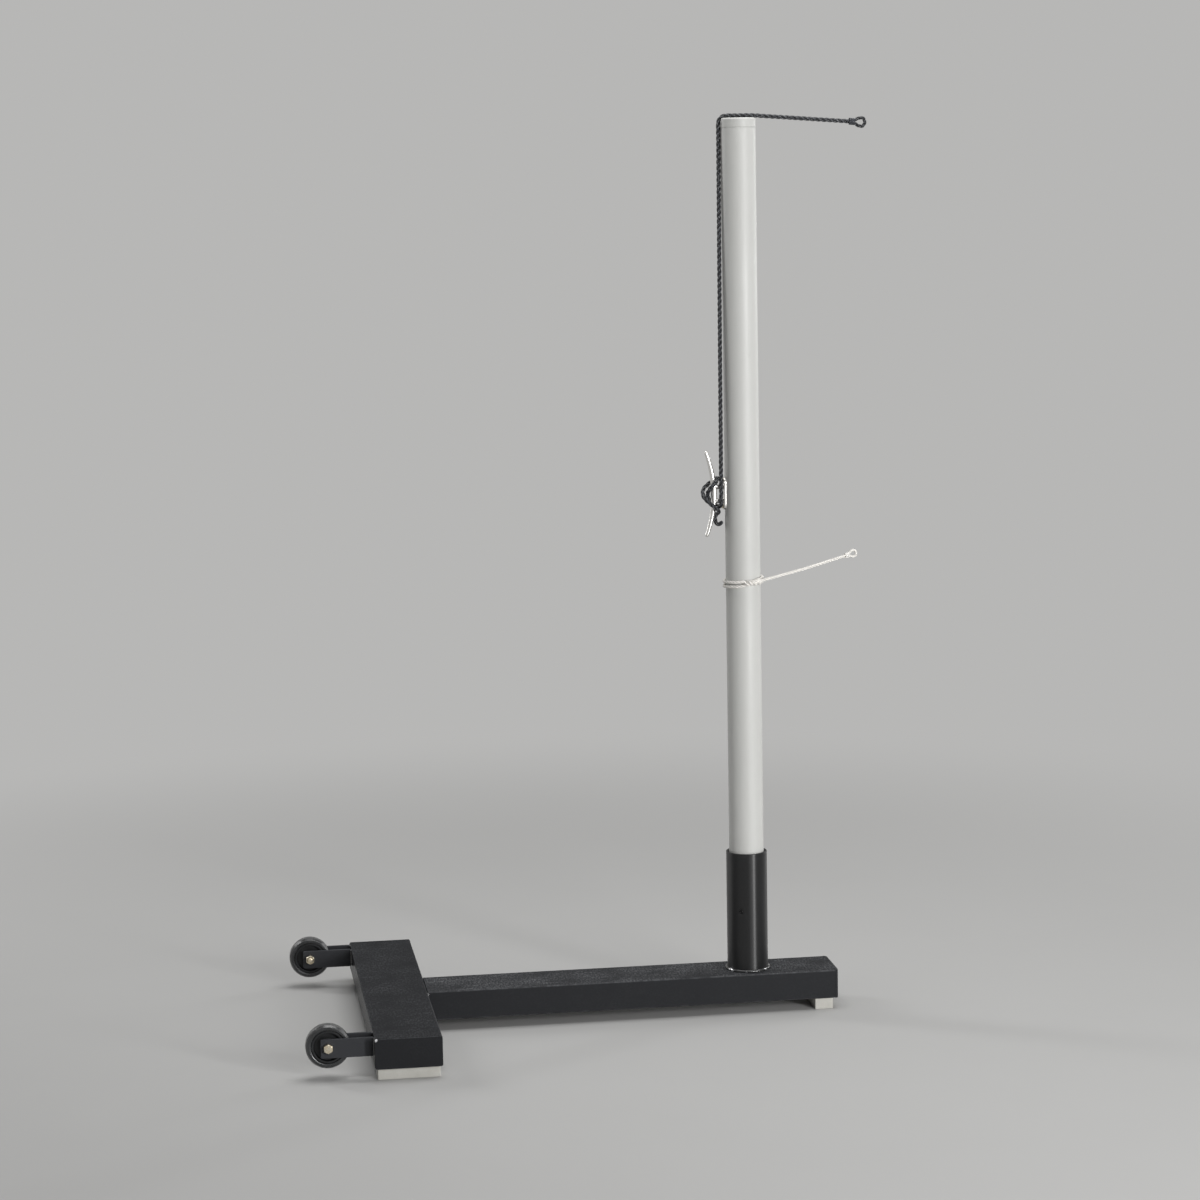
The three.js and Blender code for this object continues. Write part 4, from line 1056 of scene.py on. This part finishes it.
# Socket. A length of thick-walled tube stands on the beam and is welded round its foot, where
# the paint is chipped in a few spots. A small screw in a threaded hole near its middle clamps
# the post.
socket_low, socket_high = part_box("post_socket")
socket_radius = (socket_high.x - socket_low.x) / 2
socket_wall = 0.004
screw_low, screw_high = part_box("lock_screw")
screw_height = (screw_low.z + screw_high.z) / 2
screw_turn = np.radians(-27.8)
screw_direction = Vector((np.sin(screw_turn), -np.cos(screw_turn), 0))
screw_radius = 0.004
socket_edge = 0.0007
lock_hole_depth = 0.006
lock_hole_length = 0.01
lock_gap = 0.0003
socket_weld_radius = 0.0028
socket_weld_out, socket_weld_up = 0.0014, 0.0012
grub_edge = 0.0002


def tube_outline(inner, outer, bottom, top, spacing=0.012):
    """A tube's wall seen in section, with points all the way up so that its shading stays even."""
    up = np.arange(bottom + spacing, top - spacing / 2, spacing)
    outside = np.stack([np.full_like(up, outer), up], 1)
    inside = np.stack([np.full_like(up, inner), up[::-1]], 1)
    return np.vstack([[(inner, bottom), (outer, bottom)], outside, [(outer, top), (inner, top)], inside])


foot = Vector((post_axis.x, post_axis.y, 0))
wall_outline = tube_outline(socket_radius - socket_wall, socket_radius, socket_low.z, socket_high.z)
socket = turned("socket", soften(wall_outline, socket_edge), foot, (0, 0, 1), sides=128)
hole_start = foot + Vector((0, 0, screw_height)) + screw_direction * (socket_radius - lock_hole_depth)
cut_round_hole(socket, hole_start, screw_direction, screw_radius + screw_hole_gap, lock_hole_length)
socket_paint = powder_paint(
    "black powder paint, smooth", tone=0.006, dust=0.2, roughness=0.39, gloss=0.5, grain=0.04
)
tree = socket_paint.node_tree
round_the_tube = add_node(tree, "ShaderNodeTangent", {}, direction_type="UV_MAP", uv_map="metres")
feed(tree.nodes["Principled BSDF"], {
    "Anisotropic": 0.9, "Anisotropic Rotation": 0.25, "Tangent": round_the_tube.outputs[0]
})
dress(even_shading(socket), socket_paint, "base", "base_paint", "post_socket")

angle = np.linspace(0, 2 * np.pi, 460, endpoint=False)
weld_centre = socket_radius + socket_weld_out
weld_line = np.stack([
    post_axis.x + weld_centre * np.cos(angle),
    post_axis.y + weld_centre * np.sin(angle),
    np.full_like(angle, socket_low.z + socket_weld_up),
], 1)
across = np.stack([np.cos(angle), np.sin(angle), 0 * angle], 1), np.array([[0, 0, 1]])
pools = np.abs(np.sin(angle * 29 + 2.2 * np.sin(angle * 4 + 1)))
ripple = 0.93 + 0.06 * pools + 0.09 * np.sin(angle * 3 + 0.6) * np.sin(angle * 7)
reach = (socket_weld_radius * ripple)[:, None]
socket_weld = skin("socket_weld", rings_round(weld_line, reach, steps_round(16), across), joined=True)
chipped_paint = powder_paint("black powder paint, chipped", **weld_look)
show_bare_steel(chipped_paint, patches(chipped_paint.node_tree, 95, 0.62, 0.655, detail=2))
dress(socket_weld, chipped_paint, "base", "base_paint", "socket_weld_bead")

dark_steel = plated_finish(
    "blackened steel", colour=(0.05, 0.05, 0.052), tarnish=(0.02, 0.02, 0.02), roughness=0.35
)
grub_outline = [
    (0.0004, 0), (screw_radius - 0.0006, 0), (screw_radius, 0.0006), (screw_radius, 0.0042),
    (screw_radius - 0.0008, 0.005), (0.0022, 0.005), (0.0020, 0.0027), (0.0004, 0.0025),
]
tip = foot + Vector((0, 0, screw_height)) + screw_direction * (post_radius + lock_gap)
grub_screw = turned("grub_screw", soften(grub_outline, grub_edge), tip, screw_direction, sides=48)
dress(even_shading(grub_screw), dark_steel, "lock_screw", "dark_screw", "lock_screw")


# Post. A drawn steel tube in light grey paint, satin and even, with a plastic plug in its foot
# and a cap of the same grey whose rim is rounded where the rope bends over it.
post_wall = 0.0021
post_edge = 0.0004
cap_height = 0.016
cap_skin = 0.001
cap_centre_gap = 0.0003
cap_rim_rest = 0.0015
spigot = post_radius - 0.0024
spigot_wall = 0.003
rim_radius = 0.003
saddle_width = 0.0084
saddle_ease = 0.0012
saddle_radius = 0.0102


def grey_paint(name):
    """Satin paint: slow changes of tone along the tube, faint streaks from drawing, a fine skin
    and a few rubbed spots."""
    made, tree, shader = new_finish(name, Specular_IOR_Level=0.5)
    cloud = patches(tree, 9, 0.3, 0.7, stretch=(1, 1, 0.4), detail=6)
    streaks = patches(tree, 420, 0.35, 0.7, stretch=(1, 1, 0.01))
    marks = patches(tree, 55, 0.70, 0.76, stretch=(1, 1, 0.5), detail=6)
    tone = between(tree, cloud, (0.60, 0.602, 0.582), (0.572, 0.574, 0.554))
    tone = between(tree, sums(tree, "MULTIPLY", streaks, 0.2), tone, (0.55, 0.55, 0.53))
    tone = between(tree, sums(tree, "MULTIPLY", marks, 0.12), tone, (0.42, 0.405, 0.37))
    feed(shader, {"Base Color": tone, "Roughness": spread(tree, cloud, 0, 1, 0.42, 0.52)})
    raise_surface(tree, shader, patches(tree, 500, 0.2, 0.8, detail=2), 0.00005, 0.5)
    return made


post_paint = grey_paint("light grey paint")
wall = tube_outline(post_radius - post_wall, post_radius, post_low.z, post_high.z, spacing=0.03)
post_tube = turned("post", soften(wall, post_edge), foot, (0, 0, 1), sides=128)
dress(even_shading(post_tube), post_paint, "post", "post_paint", "post_tube")

cap_low, cap_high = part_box("post_cap")
cap_joint = cap_high.z - cap_height
rim = np.linspace(0, np.pi / 2, 10)[:, None]
rim_middle = np.array([post_radius - rim_radius, cap_high.z - rim_radius])
cap_profile = np.vstack([
    [(cap_centre_gap, cap_joint + cap_skin), (spigot - spigot_wall, cap_joint + cap_skin)],
    [(spigot - spigot_wall, cap_low.z), (spigot, cap_low.z), (spigot, cap_joint)],
    [(post_radius - post_edge, cap_joint), (post_radius, cap_joint + post_edge)],
    rim_middle + rim_radius * np.hstack([np.cos(rim), np.sin(rim)]),
    np.stack([
        np.linspace(post_radius - rim_radius - cap_rim_rest, cap_centre_gap, 14),
        np.full(14, cap_high.z),
    ], 1),
])
cap = turned("cap", cap_profile, foot, (0, 0, 1), sides=240)


def press_saddles(piece, width, radius):
    """Presses a rounded saddle into both sides of the cap where the rope bends: points within the
    width and beyond the saddle's roller, a circle in the XZ plane, are pulled back on to it."""
    points = np.zeros(len(piece.data.vertices) * 3)
    piece.data.vertices.foreach_get("co", points)
    points = points.reshape(-1, 3)
    for side in (-1, 1):
        roller_x = post_axis.x + side * (post_radius - radius)
        roller_z = cap_high.z - radius
        out_x = side * (points[:, 0] - roller_x)
        out_z = points[:, 2] - roller_z
        distance = np.hypot(out_x, out_z)
        inside = np.clip((width / 2 - np.abs(points[:, 1])) / saddle_ease, 0, 1)
        pulled = (out_x > 0) & (out_z > 0) & (distance > radius)
        share = np.where(pulled, inside * (1 - radius / np.maximum(distance, 1e-6)), 0)
        points[:, 0] -= side * out_x * share
        points[:, 2] -= out_z * share
    piece.data.vertices.foreach_set("co", points.ravel())
    piece.data.update()


press_saddles(cap, saddle_width, saddle_radius)
dress(even_shading(cap), post_paint, "post", "post_paint", "post_cap")

plug_plastic = rubber_finish(
    "black plastic", colour=(0.018, 0.018, 0.020), worn=(0.035, 0.035, 0.038), roughness=0.5
)
coat(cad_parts["post_foot_plug"], plug_plastic)

# Cleat. An aluminium casting, polished bright: two horns that bow away from the post, two short
# legs and a long foot with round ends that fits the tube. Two screws hold it.
stem_radius = 0.0051
tip_radius = 0.0032
foot_face = post_radius + 0.0003
foot_size = (0.020, 0.0563)
foot_end_radius = foot_size[0] / 2 - 0.0003
foot_thickness = 0.003
leg_offset = 0.012
leg_size = (0.008, 0.008)
leg_corner = 0.0025
foot_lip = 0.007
cleat_head_radius, cleat_head_height = 0.0038, 0.0024
cleat_head_gap = 0.0003
cleat_shank_radius, cleat_shank_length = 0.0022, 0.008
cast_cell = 0.0006
cast_rounds = 6
tube_cut_half = 0.05
cleat_origin = Vector((post_axis.x, post_axis.y, cleat_height))


def cleat_horns():
    """Both horns in one: rings square to the horn line, whose radius falls from the stem's to the
    tip's with the 1.5th power of the share of the way, each tip closed by a dome."""
    share = np.linspace(-1, 1, 121)
    line = np.stack([horn_line(share * horn_half_length), 0 * share, share * horn_half_length], 1)
    ends = np.array([[0.3], [0.55], [0.75], [0.9], [0.98]])
    down, up = (way / np.linalg.norm(way) for way in (line[0] - line[1], line[-1] - line[-2]))
    line = np.vstack([line[0] + down * tip_radius * ends[::-1], line, line[-1] + up * tip_radius * ends])
    radius = stem_radius + (tip_radius - stem_radius) * np.abs(share) ** 1.5
    dome = tip_radius * np.sqrt(1 - ends[:, 0] ** 2)
    radius = np.concatenate([dome[::-1], radius, dome])
    return skin("cleat_casting", rings_round(line, radius[:, None], steps_round(32)))


def upright_bar(name, outline, start, end, height):
    """An outline in the YZ plane carried along X from start to end, at a height."""
    flat = np.stack([0 * outline[:, 0], outline[:, 0], outline[:, 1] + height], 1)
    return skin(name, np.stack([flat + (start, 0, 0), flat + (end, 0, 0)]))


def fuse(pieces, voxel, rounds):
    """Joins closed pieces into one casting: their common volume is remeshed in small cells, then
    smoothed so that the inner corners fill like cast fillets."""
    bpy.ops.object.select_all(action="DESELECT")
    for piece in pieces:
        piece.select_set(True)
    bpy.context.view_layer.objects.active = pieces[0]
    bpy.ops.object.join()
    whole = pieces[0]
    cells = whole.modifiers.new("cells", "REMESH")
    cells.mode, cells.voxel_size = "VOXEL", voxel
    ease = whole.modifiers.new("ease", "SMOOTH")
    ease.factor, ease.iterations = 0.5, rounds
    settle(whole)
    return whole


foot_outline = rounded_outline(*foot_size, foot_end_radius, steps=14)
foot_back = -(foot_face + foot_thickness)
foot_plate = upright_bar("cleat_foot", foot_outline, foot_back, -(foot_face - foot_lip), 0)
leg_outline = rounded_outline(*leg_size, leg_corner)
leg_start, leg_end = -(post_radius + cleat_stand_off), -(foot_face + foot_thickness / 2)
legs = [
    upright_bar(f"cleat_leg_{number}", leg_outline, leg_start, leg_end, side * leg_offset)
    for number, side in enumerate((-1, 1))
]
casting = fuse([cleat_horns(), foot_plate, *legs], cast_cell, cast_rounds)
casting.data.transform(Matrix.Translation(cleat_origin))
tube_start = cleat_origin - Vector((0, 0, tube_cut_half))
cut_round_hole(casting, tube_start, (0, 0, 1), foot_face, 2 * tube_cut_half)
casting.data.shade_smooth()


def cast_finish(name):
    """Polished casting: bright metal with soft dents left by the mould and fine grinding lines."""
    made, tree, shader = new_finish(name, Metallic=1.0)
    dents = patches(tree, 240, 0.25, 0.75, detail=4)
    lines = patches(tree, 900, 0.4, 0.7, stretch=(1, 1, 0.08))
    feed(shader, {
        "Base Color": between(tree, dents, (0.82, 0.805, 0.78), (0.72, 0.705, 0.68)),
        "Roughness": spread(tree, lines, 0, 1, 0.27, 0.37),
    })
    raise_surface(tree, shader, dents, 0.0002, 0.35)
    return made


dress(casting, cast_finish("polished aluminium"), "post", "cast_aluminium", "cleat")

screw_seat = post_axis.x - (foot_face + foot_thickness + cleat_head_gap)
for label in ("upper", "lower"):
    low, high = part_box(f"cleat_{label}_screw")
    head = cross_head(
        f"cleat_{label}_screw_head", cleat_head_radius, cleat_head_height, cleat_shank_radius,
        cleat_shank_length,
    )
    placed(head, Vector((screw_seat, post_axis.y, (low.z + high.z) / 2)), (-1, 0, 0))
    dress(even_shading(head), zinc, "post", "zinc_steel", f"cleat_{label}_screw")
